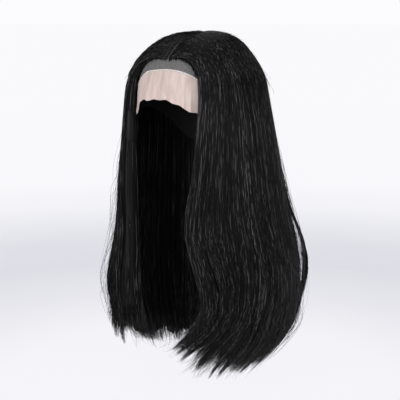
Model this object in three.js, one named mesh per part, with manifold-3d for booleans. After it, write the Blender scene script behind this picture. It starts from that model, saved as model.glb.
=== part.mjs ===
// Lace closure wig: a stretch cap, a lace closure set into its front, a bare lace apron over the forehead with
// a stitched seam between the two, and long straight hair in locks that fall from a centre parting.
// Millimetres, +Z up. The face looks along -Y, so the wearer's left is +X.
// The origin is the inside of the crown, where the top of the head bears on the cap.
import * as THREE from 'three';
import { mergeVertices } from 'three/addons/utils/BufferGeometryUtils.js';
import Module from 'manifold-3d';

const wasm = await Module();
wasm.setup();

// Head form that the cap is cut for, a rounded ellipsoid whose widest level is the brow.
const HEAD_HALF_WIDTH = 76;
const HEAD_HALF_LENGTH = 96;
const CROWN_TO_BROW = 100;
const BROW_TO_CHIN = 150;
const PLAN_SQUARENESS = 2.3;
const BROW_SQUARENESS = 2.6;
const NAPE_SQUARENESS = 2.15;
const FACING_BAND = 0.5;

// Walls.
const CAP_WALL = 1.5;
const LACE_WALL = 1.0;
const SEAM_WIDTH = 1.8;
const SEAM_RISE = 0.9;
const SEAM_LIFT = 0.3;
const PIECE_GAP = 0.4;
const LACE_SIDE_GAP_DEG = 0.4;

// Facets of the cap's dome and the lace, and how far a cutter passes the walls that it cuts.
const DOME_COLUMNS = 40;
const DOME_ROWS = 9;
const DOME_ROW_SPACING = 1.6;
const LACE_COLUMNS = 40;
const LACE_ROWS = 4;
const CUT_ROWS = 6;
const CUT_BEYOND = 4;
const CUT_LOW = -130;
const CUT_HIGH = 50;
const HAIR_GAP = 1.5;

// Closure panel, a rounded rectangle seen from above.
const CLOSURE_HALF_WIDTH = 58;
const CLOSURE_BACK_Y = 34;
const CLOSURE_FRONT_Y = -130;
const CLOSURE_CORNER = 14;

// Free corner of the lace that hangs at the right temple.
const TAB_FROM_DEG = -45;
const TAB_TO_DEG = -37;
const TAB_DROP = 17;
const TAB_FLARE = 2.5;
const TAB_BEND_FROM = 0.55;

// Parting, as angles in the middle plane from straight up, positive towards the forehead, and how far it sways
// to the left on its way, as a share of the head's half width.
const PARTING_FRONT_DEG = 51;
const PARTING_BACK_DEG = -16;
const PARTING_BACK_SHARE = 0.75;
const PARTING_SWAY = 0.05;

// Hair over the dome: the rise and squareness of its outer form, and how its run bows out and up from the
// straight way.
const DOME_RISE = 112;
const DOME_BOW_OUT = 0.36;
const DOME_BOW_UP = 0.3;
const DOME_FRONT_SQUARENESS = 2.1;
const DOME_BACK_SQUARENESS = 2.0;

// Lower edge of the cap by compass angle, 0 at the face and 180 at the nape, the same on both sides.
const CAP_EDGE = [
  { deg: 0, z: -90 },
  { deg: 48, z: -95 },
  { deg: 70, z: -103 },
  { deg: 92, z: -106 },
  { deg: 114, z: -124 },
  { deg: 136, z: -156 },
  { deg: 180, z: -172 },
];

// The lace in front of the hair, by compass angle, the left side positive: the stitched seam and the raw lower
// edge, which is cut a little lower on the left.
const LACE_EDGES = [
  { deg: -46, seam: -68, hem: -94 },
  { deg: -30, seam: -50, hem: -88 },
  { deg: -14, seam: -45.4, hem: -86 },
  { deg: 0, seam: -44, hem: -85 },
  { deg: 14, seam: -45.4, hem: -90 },
  { deg: 24, seam: -49, hem: -97 },
  { deg: 32, seam: -54, hem: -102 },
  { deg: 46, seam: -68, hem: -107 },
];

// Standing folds where the lace has too much width for the brow, and the wavy raw cut of its hem.
const LACE_FOLDS = [
  { deg: -20, halfWidthDeg: 4, rise: 1.0 },
  { deg: 22.5, halfWidthDeg: 3, rise: 2.2 },
  { deg: 29, halfWidthDeg: 3.5, rise: 1.4 },
];
const HEM_WAVE = 0.9;
const HEM_WAVES_PER_TURN = 23;

// Outer form of the hair, level by level, measured from the head's upright axis: to the left, the right, the
// front and the back. edgeLeft and edgeRight are the compass angles of the curtains' front edges, and wall is
// the hair's thickness.
const HAIR_LEVELS = [
  { z: -100, left: 98, right: 95, front: 110, back: 112, square: 2.5, wall: 15, edgeLeft: 34, edgeRight: 46 },
  { z: -150, left: 108, right: 101, front: 112, back: 121, square: 2.5, wall: 21, edgeLeft: 30, edgeRight: 44 },
  { z: -205, left: 118, right: 107, front: 112, back: 129, square: 2.5, wall: 25, edgeLeft: 24, edgeRight: 41 },
  { z: -262, left: 130, right: 112, front: 110, back: 139, square: 2.5, wall: 28, edgeLeft: 17, edgeRight: 38 },
  { z: -310, left: 144, right: 118, front: 110, back: 149, square: 2.6, wall: 32, edgeLeft: 19, edgeRight: 36 },
  { z: -352, left: 149, right: 123, front: 112, back: 153, square: 2.6, wall: 35, edgeLeft: 23, edgeRight: 36 },
  { z: -392, left: 146, right: 121, front: 110, back: 150, square: 2.5, wall: 36, edgeLeft: 22, edgeRight: 37 },
  { z: -428, left: 137, right: 114, front: 105, back: 141, square: 2.4, wall: 34, edgeLeft: 14, edgeRight: 38 },
  { z: -458, left: 118, right: 101, front: 96, back: 124, square: 2.3, wall: 29, edgeLeft: 9, edgeRight: 39 },
  { z: -488, left: 92, right: 84, front: 83, back: 100, square: 2.2, wall: 21, edgeLeft: 4, edgeRight: 40 },
];

// Where each share of the way along a lock lies: first over the dome, then down the levels to the tip.
const DOME_STEPS = 5;
const DROP_STEPS = 10;
const ROOT_STEP = 0.022;
const ROOT_THICKNESS = 0.3;
const FULL_FROM = 0.4;
const TAPER_FROM = 0.78;
const TIP_WIDTH = 0.5;
const TIP_THICKNESS = 0.14;
const LOCK_SIDES = 7;
const LOCK_OVERLAP = 1.32;
const SECTION_GAP_SHARE = 0.0015;

// Hair sections, one solid each, by their share of the turn from a front edge (0) to the back of the head (1).
// Each lock is a row: its share of the section's width, how proud it lies, and the level that its tip reaches.
const SECTIONS = [
  {
    name: 'hair_front_left', side: 1, from: 0, to: 0.3,
    locks: [
      { width: 0.7, proud: 0.92, tip: -456 },
      { width: 1.0, proud: 1.0, tip: -474 },
      { width: 1.1, proud: 0.97, tip: -486 },
      { width: 1.0, proud: 1.0, tip: -482 },
    ],
  },
  {
    name: 'hair_side_left', side: 1, from: 0.3, to: 0.64,
    locks: [
      { width: 1.0, proud: 0.96, tip: -484 },
      { width: 1.2, proud: 1.0, tip: -479 },
      { width: 1.0, proud: 0.97, tip: -485 },
      { width: 1.1, proud: 1.0, tip: -478 },
    ],
  },
  {
    name: 'hair_back', side: 1, from: 0.64, to: 1.36,
    locks: [
      { width: 1.0, proud: 0.97, tip: -483 },
      { width: 1.1, proud: 1.0, tip: -478 },
      { width: 1.0, proud: 0.96, tip: -486 },
      { width: 1.2, proud: 1.0, tip: -480 },
      { width: 1.0, proud: 0.97, tip: -488 },
      { width: 1.1, proud: 1.0, tip: -480 },
      { width: 1.0, proud: 0.96, tip: -484 },
    ],
  },
  {
    name: 'hair_side_right', side: -1, from: 0.3, to: 0.64,
    locks: [
      { width: 1.0, proud: 0.97, tip: -468 },
      { width: 1.1, proud: 1.0, tip: -473 },
      { width: 1.2, proud: 0.96, tip: -470 },
      { width: 1.0, proud: 1.0, tip: -482 },
    ],
  },
  {
    name: 'hair_front_right', side: -1, from: 0, to: 0.3,
    locks: [
      { width: 0.8, proud: 0.93, tip: -450 },
      { width: 1.0, proud: 1.0, tip: -459 },
      { width: 1.1, proud: 0.96, tip: -455 },
      { width: 1.0, proud: 1.0, tip: -464 },
    ],
  },
];

const HAIR_LOOK = { color: 0x161516, roughness: 0.42, metalness: 0 };
const CAP_LOOK = { color: 0x1c1b1c, roughness: 0.85, metalness: 0 };
const CLOSURE_LOOK = { color: 0x6f6c6d, roughness: 0.8, metalness: 0 };
const LACE_LOOK = { color: 0xdfcac4, roughness: 0.75, metalness: 0 };
const SEAM_LOOK = { color: 0xe6dcd8, roughness: 0.7, metalness: 0 };

const radians = THREE.MathUtils.degToRad;
const mix = THREE.MathUtils.lerp;

// Value of one column of a table at a key, on a smooth curve through the rows.
function column(table, key, name, at) {
  const last = table.length - 1;
  const rising = table[last][key] > table[0][key];
  const before = table.findIndex((row) => (rising ? row[key] > at : row[key] < at)) - 1;
  const i = THREE.MathUtils.clamp(before < -1 ? last - 1 : before, 0, last - 1);
  const row = (k) => table[THREE.MathUtils.clamp(k, 0, last)];
  const slope = (k) => {
    const run = row(k + 1)[key] - row(k - 1)[key];
    return run === 0 ? 0 : (row(k + 1)[name] - row(k - 1)[name]) / run;
  };
  const step = row(i + 1)[key] - row(i)[key];
  const t = THREE.MathUtils.clamp((at - row(i)[key]) / step, 0, 1);
  const t2 = t * t;
  const t3 = t2 * t;
  return (2 * t3 - 3 * t2 + 1) * row(i)[name] + (t3 - 2 * t2 + t) * step * slope(i)
    + (3 * t2 - 2 * t3) * row(i + 1)[name] + (t3 - t2) * step * slope(i + 1);
}

// Closed solid from triangles with shared corners.
function solidOfArrays(vertProperties, triVerts) {
  return new wasm.Manifold(new wasm.Mesh({ numProp: 3, vertProperties, triVerts }));
}

function solid(points, triangles) {
  const corners = points.flatMap((p) => [p.x, p.y, p.z]);
  return solidOfArrays(new Float32Array(corners), new Uint32Array(triangles.flat()));
}

function solidOfGeometry(geometry) {
  const bare = geometry.index ? geometry.toNonIndexed() : geometry.clone();
  bare.deleteAttribute('normal');
  bare.deleteAttribute('uv');
  const merged = mergeVertices(bare, 1e-4);
  return solidOfArrays(new Float32Array(merged.attributes.position.array), new Uint32Array(merged.index.array));
}

function meshOfSolid(name, shape, look) {
  const made = shape.getMesh();
  const geometry = new THREE.BufferGeometry();
  const corners = new Float32Array(made.vertProperties);
  geometry.setAttribute('position', new THREE.BufferAttribute(corners, made.numProp));
  geometry.setIndex(new THREE.BufferAttribute(new Uint32Array(made.triVerts), 1));
  geometry.computeVertexNormals();
  const mesh = new THREE.Mesh(geometry, new THREE.MeshStandardMaterial(look));
  mesh.name = name;
  return mesh;
}

// Loft through rings of equal count, closed at both ends by a fan about each end ring's middle.
function loft(rings) {
  const count = rings[0].length;
  const points = rings.flat();
  const triangles = [];
  for (let i = 0; i + 1 < rings.length; i += 1) {
    for (let j = 0; j < count; j += 1) {
      const next = (j + 1) % count;
      const [a, b] = [i * count + j, i * count + next];
      triangles.push([a, b, a + count], [b, b + count, a + count]);
    }
  }
  const cap = (ring, start, flip) => {
    const middle = ring.reduce((sum, p) => sum.add(p), new THREE.Vector3()).divideScalar(count);
    points.push(middle);
    for (let j = 0; j < count; j += 1) {
      const [a, b] = [start + j, start + ((j + 1) % count)];
      triangles.push(flip ? [points.length - 1, b, a] : [points.length - 1, a, b]);
    }
  };
  cap(rings[0], 0, true);
  cap(rings[rings.length - 1], (rings.length - 1) * count, false);
  const made = solid(points, triangles);
  return made.volume() > 0 ? made : solid(points, triangles.map(([a, b, c]) => [a, c, b]));
}

// Distance from the head's upright axis to the head form at a level, as a share of the brow's.
function profileShare(z, rise, drop, squareness) {
  const height = z > -CROWN_TO_BROW ? (z + CROWN_TO_BROW) / rise : (-CROWN_TO_BROW - z) / drop;
  return Math.max(0, 1 - Math.min(1, height) ** squareness) ** (1 / squareness);
}

// Point of an oval seen from above, at a compass angle from the face.
function ovalPoint(angle, halfWidth, halfLength, squareness, z) {
  const [s, c] = [Math.sin(angle), Math.cos(angle)];
  const share = (Math.abs(s) ** squareness + Math.abs(c) ** squareness) ** (-1 / squareness);
  return new THREE.Vector3(halfWidth * share * s, -halfLength * share * c, z);
}

// How far a compass angle faces forwards, from 0 at the back of the head to 1 at the face.
const facing = (angle) => THREE.MathUtils.smoothstep(Math.cos(angle), -FACING_BAND, FACING_BAND);

// Point on the head form, grown outwards by an offset, at a compass angle and a level.
function headPoint(angle, z, offset) {
  const squareness = mix(NAPE_SQUARENESS, BROW_SQUARENESS, facing(angle));
  const share = profileShare(z, CROWN_TO_BROW + offset, BROW_TO_CHIN, squareness);
  return ovalPoint(
    angle,
    (HEAD_HALF_WIDTH + offset) * share,
    (HEAD_HALF_LENGTH + offset) * share,
    PLAN_SQUARENESS,
    z,
  );
}

// Curved wall on the head form between two levels that vary with the compass angle.
function headWall({ fromDeg, toDeg, columns, rows, top, bottom, inner, outer }) {
  const points = [];
  const triangles = [];
  for (let i = 0; i <= columns; i += 1) {
    const deg = mix(fromDeg, toDeg, i / columns);
    for (const offset of [inner, outer]) {
      for (let j = 0; j <= rows; j += 1) {
        const z = mix(top(deg), bottom(deg), j / rows);
        points.push(headPoint(radians(deg), z, offset(deg, j / rows)));
      }
    }
  }
  const at = (i, layer, j) => (i * 2 + layer) * (rows + 1) + j;
  const quad = (a, b, c, d) => triangles.push([a, b, c], [a, c, d]);
  for (let i = 0; i < columns; i += 1) {
    for (let j = 0; j < rows; j += 1) {
      quad(at(i, 1, j), at(i, 1, j + 1), at(i + 1, 1, j + 1), at(i + 1, 1, j));
      quad(at(i, 0, j), at(i + 1, 0, j), at(i + 1, 0, j + 1), at(i, 0, j + 1));
    }
    quad(at(i, 0, 0), at(i, 1, 0), at(i + 1, 1, 0), at(i + 1, 0, 0));
    quad(at(i, 0, rows), at(i + 1, 0, rows), at(i + 1, 1, rows), at(i, 1, rows));
  }
  for (let j = 0; j < rows; j += 1) {
    quad(at(0, 0, j), at(0, 0, j + 1), at(0, 1, j + 1), at(0, 1, j));
    quad(at(columns, 0, j), at(columns, 1, j), at(columns, 1, j + 1), at(columns, 0, j + 1));
  }
  return solid(points, triangles);
}

// Whole dome of the cap down to a lower edge, between two offsets from the head form.
function domeShell(edge, inner, outer) {
  const [columns, rows] = [DOME_COLUMNS, DOME_ROWS];
  const points = [];
  const triangles = [];
  for (const offset of [inner, outer]) {
    const crown = new THREE.Vector3(0, 0, offset);
    points.push(crown);
    for (let j = 1; j <= rows; j += 1) {
      for (let i = 0; i < columns; i += 1) {
        const angle = (i / columns) * 2 * Math.PI;
        const low = edge(Math.abs(THREE.MathUtils.radToDeg(Math.atan2(Math.sin(angle), Math.cos(angle)))));
        const lean = (j / rows) * 0.5 * Math.PI;
        const z = mix(low, offset, Math.cos(lean) ** DOME_ROW_SPACING);
        points.push(headPoint(angle, z, offset));
      }
    }
  }
  const layerSize = 1 + rows * columns;
  const at = (layer, j, i) => layer * layerSize + (j === 0 ? 0 : 1 + (j - 1) * columns + (i % columns));
  for (let i = 0; i < columns; i += 1) {
    triangles.push([at(1, 0, 0), at(1, 1, i), at(1, 1, i + 1)], [at(0, 0, 0), at(0, 1, i + 1), at(0, 1, i)]);
    for (let j = 1; j < rows; j += 1) {
      const [a, b, c, d] = [at(1, j, i), at(1, j + 1, i), at(1, j + 1, i + 1), at(1, j, i + 1)];
      triangles.push([a, b, c], [a, c, d]);
      const [e, f, g, h] = [at(0, j, i), at(0, j, i + 1), at(0, j + 1, i + 1), at(0, j + 1, i)];
      triangles.push([e, f, g], [e, g, h]);
    }
    const [p, q, r, s] = [at(0, rows, i), at(0, rows, i + 1), at(1, rows, i + 1), at(1, rows, i)];
    triangles.push([p, q, r], [p, r, s]);
  }
  return solid(points, triangles);
}

// Upright prism over the closure's outline, grown by a margin.
function closurePrism(margin) {
  const half = CLOSURE_HALF_WIDTH + margin;
  const back = CLOSURE_BACK_Y + margin;
  const radius = CLOSURE_CORNER + margin;
  const outline = new THREE.Shape();
  outline.moveTo(-half, CLOSURE_FRONT_Y);
  outline.lineTo(half, CLOSURE_FRONT_Y);
  outline.lineTo(half, back - radius);
  outline.absarc(half - radius, back - radius, radius, 0, Math.PI / 2);
  outline.lineTo(-half + radius, back);
  outline.absarc(-half + radius, back - radius, radius, Math.PI / 2, Math.PI);
  outline.closePath();
  const depth = CUT_HIGH - CUT_LOW;
  const geometry = new THREE.ExtrudeGeometry(outline, { depth, bevelEnabled: false, curveSegments: 4 });
  geometry.translate(0, 0, CUT_LOW);
  return solidOfGeometry(geometry);
}

const capEdge = (deg) => column(CAP_EDGE, 'deg', 'z', deg);
const laceEdge = (name, deg) => column(LACE_EDGES, 'deg', name, deg);
const laceReach = LACE_EDGES[LACE_EDGES.length - 1].deg;

// Space of the bare lace and its seam, which the cap and the closure stop short of.
function lacePlace() {
  const beyond = laceReach + LACE_SIDE_GAP_DEG;
  return headWall({
    fromDeg: -beyond,
    toDeg: beyond,
    columns: LACE_COLUMNS,
    rows: CUT_ROWS,
    top: (deg) => laceEdge('seam', deg) + SEAM_WIDTH / 2 + PIECE_GAP,
    bottom: () => CUT_LOW,
    inner: () => -CUT_BEYOND,
    outer: () => CAP_WALL + CUT_BEYOND,
  });
}

function cap() {
  const shape = domeShell(capEdge, 0, CAP_WALL).subtract(closurePrism(PIECE_GAP)).subtract(lacePlace());
  return meshOfSolid('cap', shape, CAP_LOOK);
}

// Hair-bearing lace: the dome inside the closure's outline, down to the seam.
function closureLace() {
  const shape = domeShell(capEdge, 0, LACE_WALL).intersect(closurePrism(0)).subtract(lacePlace());
  return meshOfSolid('closure_lace', shape, CLOSURE_LOOK);
}

// Bare lace over the forehead, with its folds, its raw hem and the free corner at the right temple.
function frontLace() {
  const fold = (deg) => LACE_FOLDS.reduce((sum, f) => {
    const share = Math.abs(deg - f.deg) / f.halfWidthDeg;
    return sum + (share < 1 ? f.rise * Math.cos(share * 0.5 * Math.PI) ** 2 : 0);
  }, 0);
  const inTab = (deg) => {
    const share = (deg - TAB_FROM_DEG) / (TAB_TO_DEG - TAB_FROM_DEG);
    return share > 0 && share < 1 ? Math.sin(share * Math.PI) ** 0.5 : 0;
  };
  const wave = (deg) => HEM_WAVE * Math.sin(radians(deg) * HEM_WAVES_PER_TURN);
  const bend = (down) => Math.max(0, (down - TAB_BEND_FROM) / (1 - TAB_BEND_FROM)) ** 2;
  const lift = (deg, down) => fold(deg) * down + TAB_FLARE * inTab(deg) * bend(down);
  const shape = headWall({
    fromDeg: -laceReach,
    toDeg: laceReach,
    columns: LACE_COLUMNS,
    rows: LACE_ROWS,
    top: (deg) => laceEdge('seam', deg) - PIECE_GAP - SEAM_WIDTH / 2,
    bottom: (deg) => laceEdge('hem', deg) + wave(deg) - TAB_DROP * inTab(deg),
    inner: (deg, down) => lift(deg, down),
    outer: (deg, down) => lift(deg, down) + LACE_WALL,
  });
  return meshOfSolid('front_lace', shape, LACE_LOOK);
}

// Stitched seam between the closure and the bare lace, a low flat cord on the head form.
function laceSeam() {
  const shape = headWall({
    fromDeg: -laceReach,
    toDeg: laceReach,
    columns: LACE_COLUMNS,
    rows: 1,
    top: (deg) => laceEdge('seam', deg) + SEAM_WIDTH / 2,
    bottom: (deg) => laceEdge('seam', deg) - SEAM_WIDTH / 2,
    inner: () => SEAM_LIFT,
    outer: () => SEAM_LIFT + SEAM_RISE + LACE_WALL / 2,
  });
  return meshOfSolid('lace_seam', shape, SEAM_LOOK);
}

// A share of the turn past the back of the head is one of the other side.
const folded = (side, share) => (share > 1 ? { side: -side, share: 2 - share } : { side, share });

// Compass angle, from the face round one side, of a share of the turn from that side's front edge to the back.
function fallAngle({ side, share }, edge) {
  return side * radians(mix(side > 0 ? edge('edgeLeft') : edge('edgeRight'), 180, share));
}

// Hair over the dome: from the parting round to the brow, between the cap and the outer form.
function domeHair(place, along, depth) {
  const top = HAIR_LEVELS[0];
  const fall = fallAngle(place, (name) => top[name]);
  const rootShare = Math.min(1, place.share / PARTING_BACK_SHARE);
  const rootLean = radians(mix(PARTING_FRONT_DEG, PARTING_BACK_DEG, rootShare));
  const sway = PARTING_SWAY * Math.sin(rootShare * Math.PI);
  const root = new THREE.Vector3(sway, -Math.sin(rootLean), Math.cos(rootLean));
  const brow = new THREE.Vector3(Math.sin(fall), -Math.cos(fall), 0);
  const bow = new THREE.Vector3(Math.sin(fall), Math.max(0, Math.cos(fall)), 0).multiplyScalar(DOME_BOW_OUT);
  bow.z = DOME_BOW_UP;
  const bend = root.clone().lerp(brow, 0.5).add(bow).normalize();
  const way = root.multiplyScalar((1 - along) ** 2)
    .addScaledVector(bend, 2 * along * (1 - along))
    .addScaledVector(brow, along ** 2)
    .normalize();
  const heading = facing(Math.atan2(way.x, -way.y));
  const onDome = (halfWidth, halfLength, rise, squareness, plan) => {
    const flat = (Math.abs(way.x) ** plan + Math.abs(way.y) ** plan) ** (1 / plan);
    const reach = (flat ** squareness + way.z ** squareness) ** (-1 / squareness);
    return new THREE.Vector3(
      way.x * reach * halfWidth,
      way.y * reach * halfLength,
      way.z * reach * rise - CROWN_TO_BROW,
    );
  };
  const clear = CAP_WALL + HAIR_GAP;
  const inner = onDome(
    HEAD_HALF_WIDTH + clear,
    HEAD_HALF_LENGTH + clear,
    CROWN_TO_BROW + clear,
    mix(NAPE_SQUARENESS, BROW_SQUARENESS, heading),
    PLAN_SQUARENESS,
  );
  const outer = onDome(
    place.side > 0 ? top.left : top.right,
    mix(top.back, top.front, heading),
    DOME_RISE,
    mix(DOME_BACK_SQUARENESS, DOME_FRONT_SQUARENESS, heading),
    top.square,
  );
  return inner.lerp(outer, depth);
}

// Hanging hair: at a level, between the outer face of the wall and an inner one that keeps clear of the head.
function hangingHair(place, z, depth) {
  const level = (name) => column(HAIR_LEVELS, 'z', name, z);
  const fall = fallAngle(place, level);
  const across = level(place.side > 0 ? 'left' : 'right');
  const lengthways = mix(level('back'), level('front'), facing(fall));
  const face = (inset) => ovalPoint(fall, across - inset, lengthways - inset, level('square'), z);
  const inner = face(level('wall'));
  const head = headPoint(fall, z, CAP_WALL + HAIR_GAP);
  const clear = Math.hypot(head.x, head.y) > Math.hypot(inner.x, inner.y) ? head : inner;
  return clear.lerp(face(0), depth);
}

// One lock from the parting to its tip: a lens-shaped ring at each step, tapering near the end.
function lock(side, middle, halfShare, limits, row) {
  const rings = [];
  const ring = (hairAt, narrow, thin, lift) => {
    const points = [];
    for (let k = 0; k < LOCK_SIDES; k += 1) {
      const turn = (k / LOCK_SIDES) * 2 * Math.PI;
      const share = THREE.MathUtils.clamp(middle + halfShare * narrow * Math.cos(turn), ...limits);
      const depth = lift + 0.5 * thin * row.proud * Math.sin(turn);
      points.push(hairAt(folded(side, share), depth));
    }
    rings.push(points);
  };
  for (let i = 0; i < DOME_STEPS; i += 1) {
    const along = mix(ROOT_STEP, 1, i / DOME_STEPS);
    const thin = mix(ROOT_THICKNESS, 1, Math.min(1, along / FULL_FROM));
    ring((place, depth) => domeHair(place, along, depth), 1, thin, thin / 2);
  }
  for (let i = 0; i <= DROP_STEPS; i += 1) {
    const down = i / DROP_STEPS;
    const late = THREE.MathUtils.clamp((down - TAPER_FROM) / (1 - TAPER_FROM), 0, 1);
    const narrow = mix(1, TIP_WIDTH, late ** 2);
    const thin = mix(1, TIP_THICKNESS, late ** 1.5);
    const z = mix(-CROWN_TO_BROW, row.tip, down);
    ring((place, depth) => hangingHair(place, z, depth), narrow, thin, 0.5);
  }
  return loft(rings);
}

// One section of hair: its locks, side by side and overlapping, fused into one solid.
function hairSection({ name, side, from, to, locks }) {
  const total = locks.reduce((sum, row) => sum + row.width, 0);
  const limits = [from + SECTION_GAP_SHARE, to - SECTION_GAP_SHARE];
  let start = from;
  let shape = null;
  for (const row of locks) {
    const span = ((to - from) * row.width) / total;
    const made = lock(side, start + span / 2, (span / 2) * LOCK_OVERLAP, limits, row);
    shape = shape ? shape.add(made) : made;
    start += span;
  }
  return meshOfSolid(name, shape, HAIR_LOOK);
}

const wig = new THREE.Group();
wig.add(cap(), closureLace(), laceSeam(), frontLace(), ...SECTIONS.map(hairSection));

export default wig;
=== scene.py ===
"""Lace closure wig: strands, cap, closure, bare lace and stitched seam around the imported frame.

Metres, +Z up. The face looks along -Y, so the wearer's left is +X. The origin is the inside of the crown.
"""
import math

import bpy
import numpy as np
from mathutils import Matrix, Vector


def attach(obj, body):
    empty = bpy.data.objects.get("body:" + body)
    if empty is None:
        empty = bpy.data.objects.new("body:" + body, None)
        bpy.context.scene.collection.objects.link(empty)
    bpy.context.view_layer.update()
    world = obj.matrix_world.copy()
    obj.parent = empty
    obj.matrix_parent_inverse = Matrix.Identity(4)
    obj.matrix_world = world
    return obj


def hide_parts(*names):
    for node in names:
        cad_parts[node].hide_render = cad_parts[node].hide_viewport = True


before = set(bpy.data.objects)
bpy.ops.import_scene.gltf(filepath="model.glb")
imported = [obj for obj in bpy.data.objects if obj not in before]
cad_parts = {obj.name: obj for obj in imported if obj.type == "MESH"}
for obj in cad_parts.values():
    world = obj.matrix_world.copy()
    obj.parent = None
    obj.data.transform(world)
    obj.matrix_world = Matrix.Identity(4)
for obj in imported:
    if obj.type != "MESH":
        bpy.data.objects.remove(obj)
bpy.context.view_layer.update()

MM = 0.001

# Head form that the cap is cut for, a rounded ellipsoid whose widest level is the brow.
HEAD_HALF_WIDTH = 76 * MM
HEAD_HALF_LENGTH = 96 * MM
CROWN_TO_BROW = 100 * MM
BROW_TO_CHIN = 150 * MM
MEAN_RADIUS = 85 * MM
FOREHEAD_RADIUS = 90 * MM
PLAN_SQUARENESS = 2.3
BROW_SQUARENESS = 2.6
NAPE_SQUARENESS = 2.15
FACING_BAND = 0.5

# Walls and gaps.
CAP_WALL = 1.5 * MM
LACE_WALL = 1.0 * MM
SEAM_WIDTH = 1.8 * MM
SEAM_RISE = 0.9 * MM
SEAM_LIFT = 0.3 * MM
PIECE_GAP = 0.4 * MM
HAIR_GAP = 1.5 * MM
LACE_SIDE_GAP_DEG = 0.4

# Cap: rows of wefts, which stand out of the wall and dent its inner face, and a firmer band along the lower
# edge. Its front corners lie between the sides of the lace and a compass angle.
WEFT_PITCH = 12 * MM
WEFT_RISE = 0.35 * MM
WEFT_DENT = 0.25 * MM
WEFT_EDGE = 0.55
CAP_FRONT_MOST_DEG = 60
CAP_BAND = 7.5 * MM
CAP_BAND_FADE = 1.5 * MM
CAP_BAND_SWELL = 0.7

# Closure panel, a rounded rectangle seen from above, open to the front. Its bare band ends at the hairline.
CLOSURE_HALF_WIDTH = 58 * MM
CLOSURE_BACK_Y = 34 * MM
CLOSURE_CORNER = 14 * MM
HAIRLINE_BAND = (-1 * MM, 3 * MM)

# Free corner of the lace that hangs at the right temple.
TAB_FROM_DEG = -45
TAB_TO_DEG = -37
TAB_DROP = 17 * MM
TAB_FLARE = 2.5 * MM
TAB_BEND_FROM = 0.55

# Stitches that bow over the seam's tape, a little wider than it; the tape has a part of the seam's rise.
STITCH_PITCH_DEG = 2.0
STITCH_MARGIN_DEG = 1
STITCH_SLANT_DEG = 1.3
STITCH_RADIUS = 0.42 * MM
STITCH_SIDES = 5
STITCH_SPAN = 1.1
STITCH_FOOT = 0.1
STITCH_BOW = 0.62
TAPE_PART = 0.55

# Parting, as angles in the middle plane from straight up, positive towards the forehead. Behind its end the
# hair turns round in a whorl. Beside it the crown is fuller on the left and flatter on the right, over a part
# of the run, and less towards the back.
PARTING_FRONT_DEG = 51
PARTING_BACK_DEG = -16
PARTING_BACK_SHARE = 0.75
PARTING_SWAY = 0.05
WHORL_FROM_SHARE = 0.5
WHORL_SPREAD = 0.7
CROWN_LIFT_LEFT = 0.34
CROWN_LIFT_RIGHT = -0.2
CROWN_LIFT_FROM = 0.02
CROWN_LIFT_RUN = 0.6
CROWN_LIFT_FADE = (1.0, 0.6)

# Hair over the dome. Depths in the hair run from 0 at its inner face to 1 at its outer one.
DOME_RISE = 112 * MM
DOME_BOW_OUT = 0.36
DOME_BOW_UP = 0.3
DOME_FRONT_SQUARENESS = 2.1
DOME_BACK_SQUARENESS = 2.0
ROOT_THICKNESS = 0.3
WHORL_THICKNESS = 0.8
FULL_FROM = 0.4


def table(columns, rows, lengths):
    """Columns of a short table as arrays; the columns named in lengths are millimetres."""
    values = np.array(rows, float).T
    return {name: values[i] * (MM if name in lengths else 1) for i, name in enumerate(columns)}


# Lower edge of the cap by compass angle, 0 at the face and 180 at the nape.
CAP_EDGE = table(
    ("deg", "z"),
    ((0, -90), (48, -95), (70, -103), (92, -106), (114, -124), (136, -156), (180, -172)),
    ("z",))

# The lace in front of the hair, by compass angle, the left side positive: the stitched seam and the raw edge.
LACE_EDGES = table(
    ("deg", "seam", "hem"),
    ((-46, -68, -94), (-30, -50, -88), (-14, -45.4, -86), (0, -44, -85), (14, -45.4, -90), (24, -49, -97),
     (32, -54, -102), (46, -68, -107)),
    ("seam", "hem"))
LACE_REACH_DEG = LACE_EDGES["deg"][-1]
LACE_FOLDS = table(
    ("deg", "half_width_deg", "rise"),
    ((-20, 4, 1.0), (22.5, 3, 2.2), (29, 3.5, 1.4)),
    ("rise",))
HEM_WAVE = 0.9 * MM
HEM_WAVES_PER_TURN = 23
HEM_FRAY = ((0.30 * MM, 3.1, 0), (0.25 * MM, 4.7, 1))
LACE_PUCKER = 0.18 * MM
PUCKER_RATE = 1.9
PUCKER_LEAN = 3
PUCKER_FADE = 0.3

# Outer form of the hair, level by level, from the head's upright axis. The edges are the compass angles of
# the two front edges; behind its wavy front lock, the left curtain falls as from a straighter edge.
HAIR_LEVELS = table(
    ("z", "left", "right", "front", "back", "square", "wall", "edge_left", "edge_right", "straight_left"),
    (
        (-100, 98, 95, 110, 112, 2.5, 15, 34, 46, 34),
        (-150, 108, 101, 112, 121, 2.5, 21, 30, 44, 30),
        (-205, 118, 107, 112, 129, 2.5, 25, 24, 41, 26),
        (-262, 130, 112, 110, 139, 2.5, 28, 17, 38, 23),
        (-310, 144, 118, 110, 149, 2.6, 32, 19, 36, 22),
        (-352, 149, 123, 112, 153, 2.6, 35, 23, 36, 21),
        (-392, 146, 121, 110, 150, 2.5, 36, 22, 37, 19),
        (-428, 137, 114, 105, 141, 2.4, 34, 14, 38, 14),
        (-458, 118, 101, 96, 124, 2.3, 29, 9, 39, 9),
        (-488, 92, 84, 83, 100, 2.2, 21, 4, 40, 4),
    ),
    ("z", "left", "right", "front", "back", "wall"))

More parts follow.
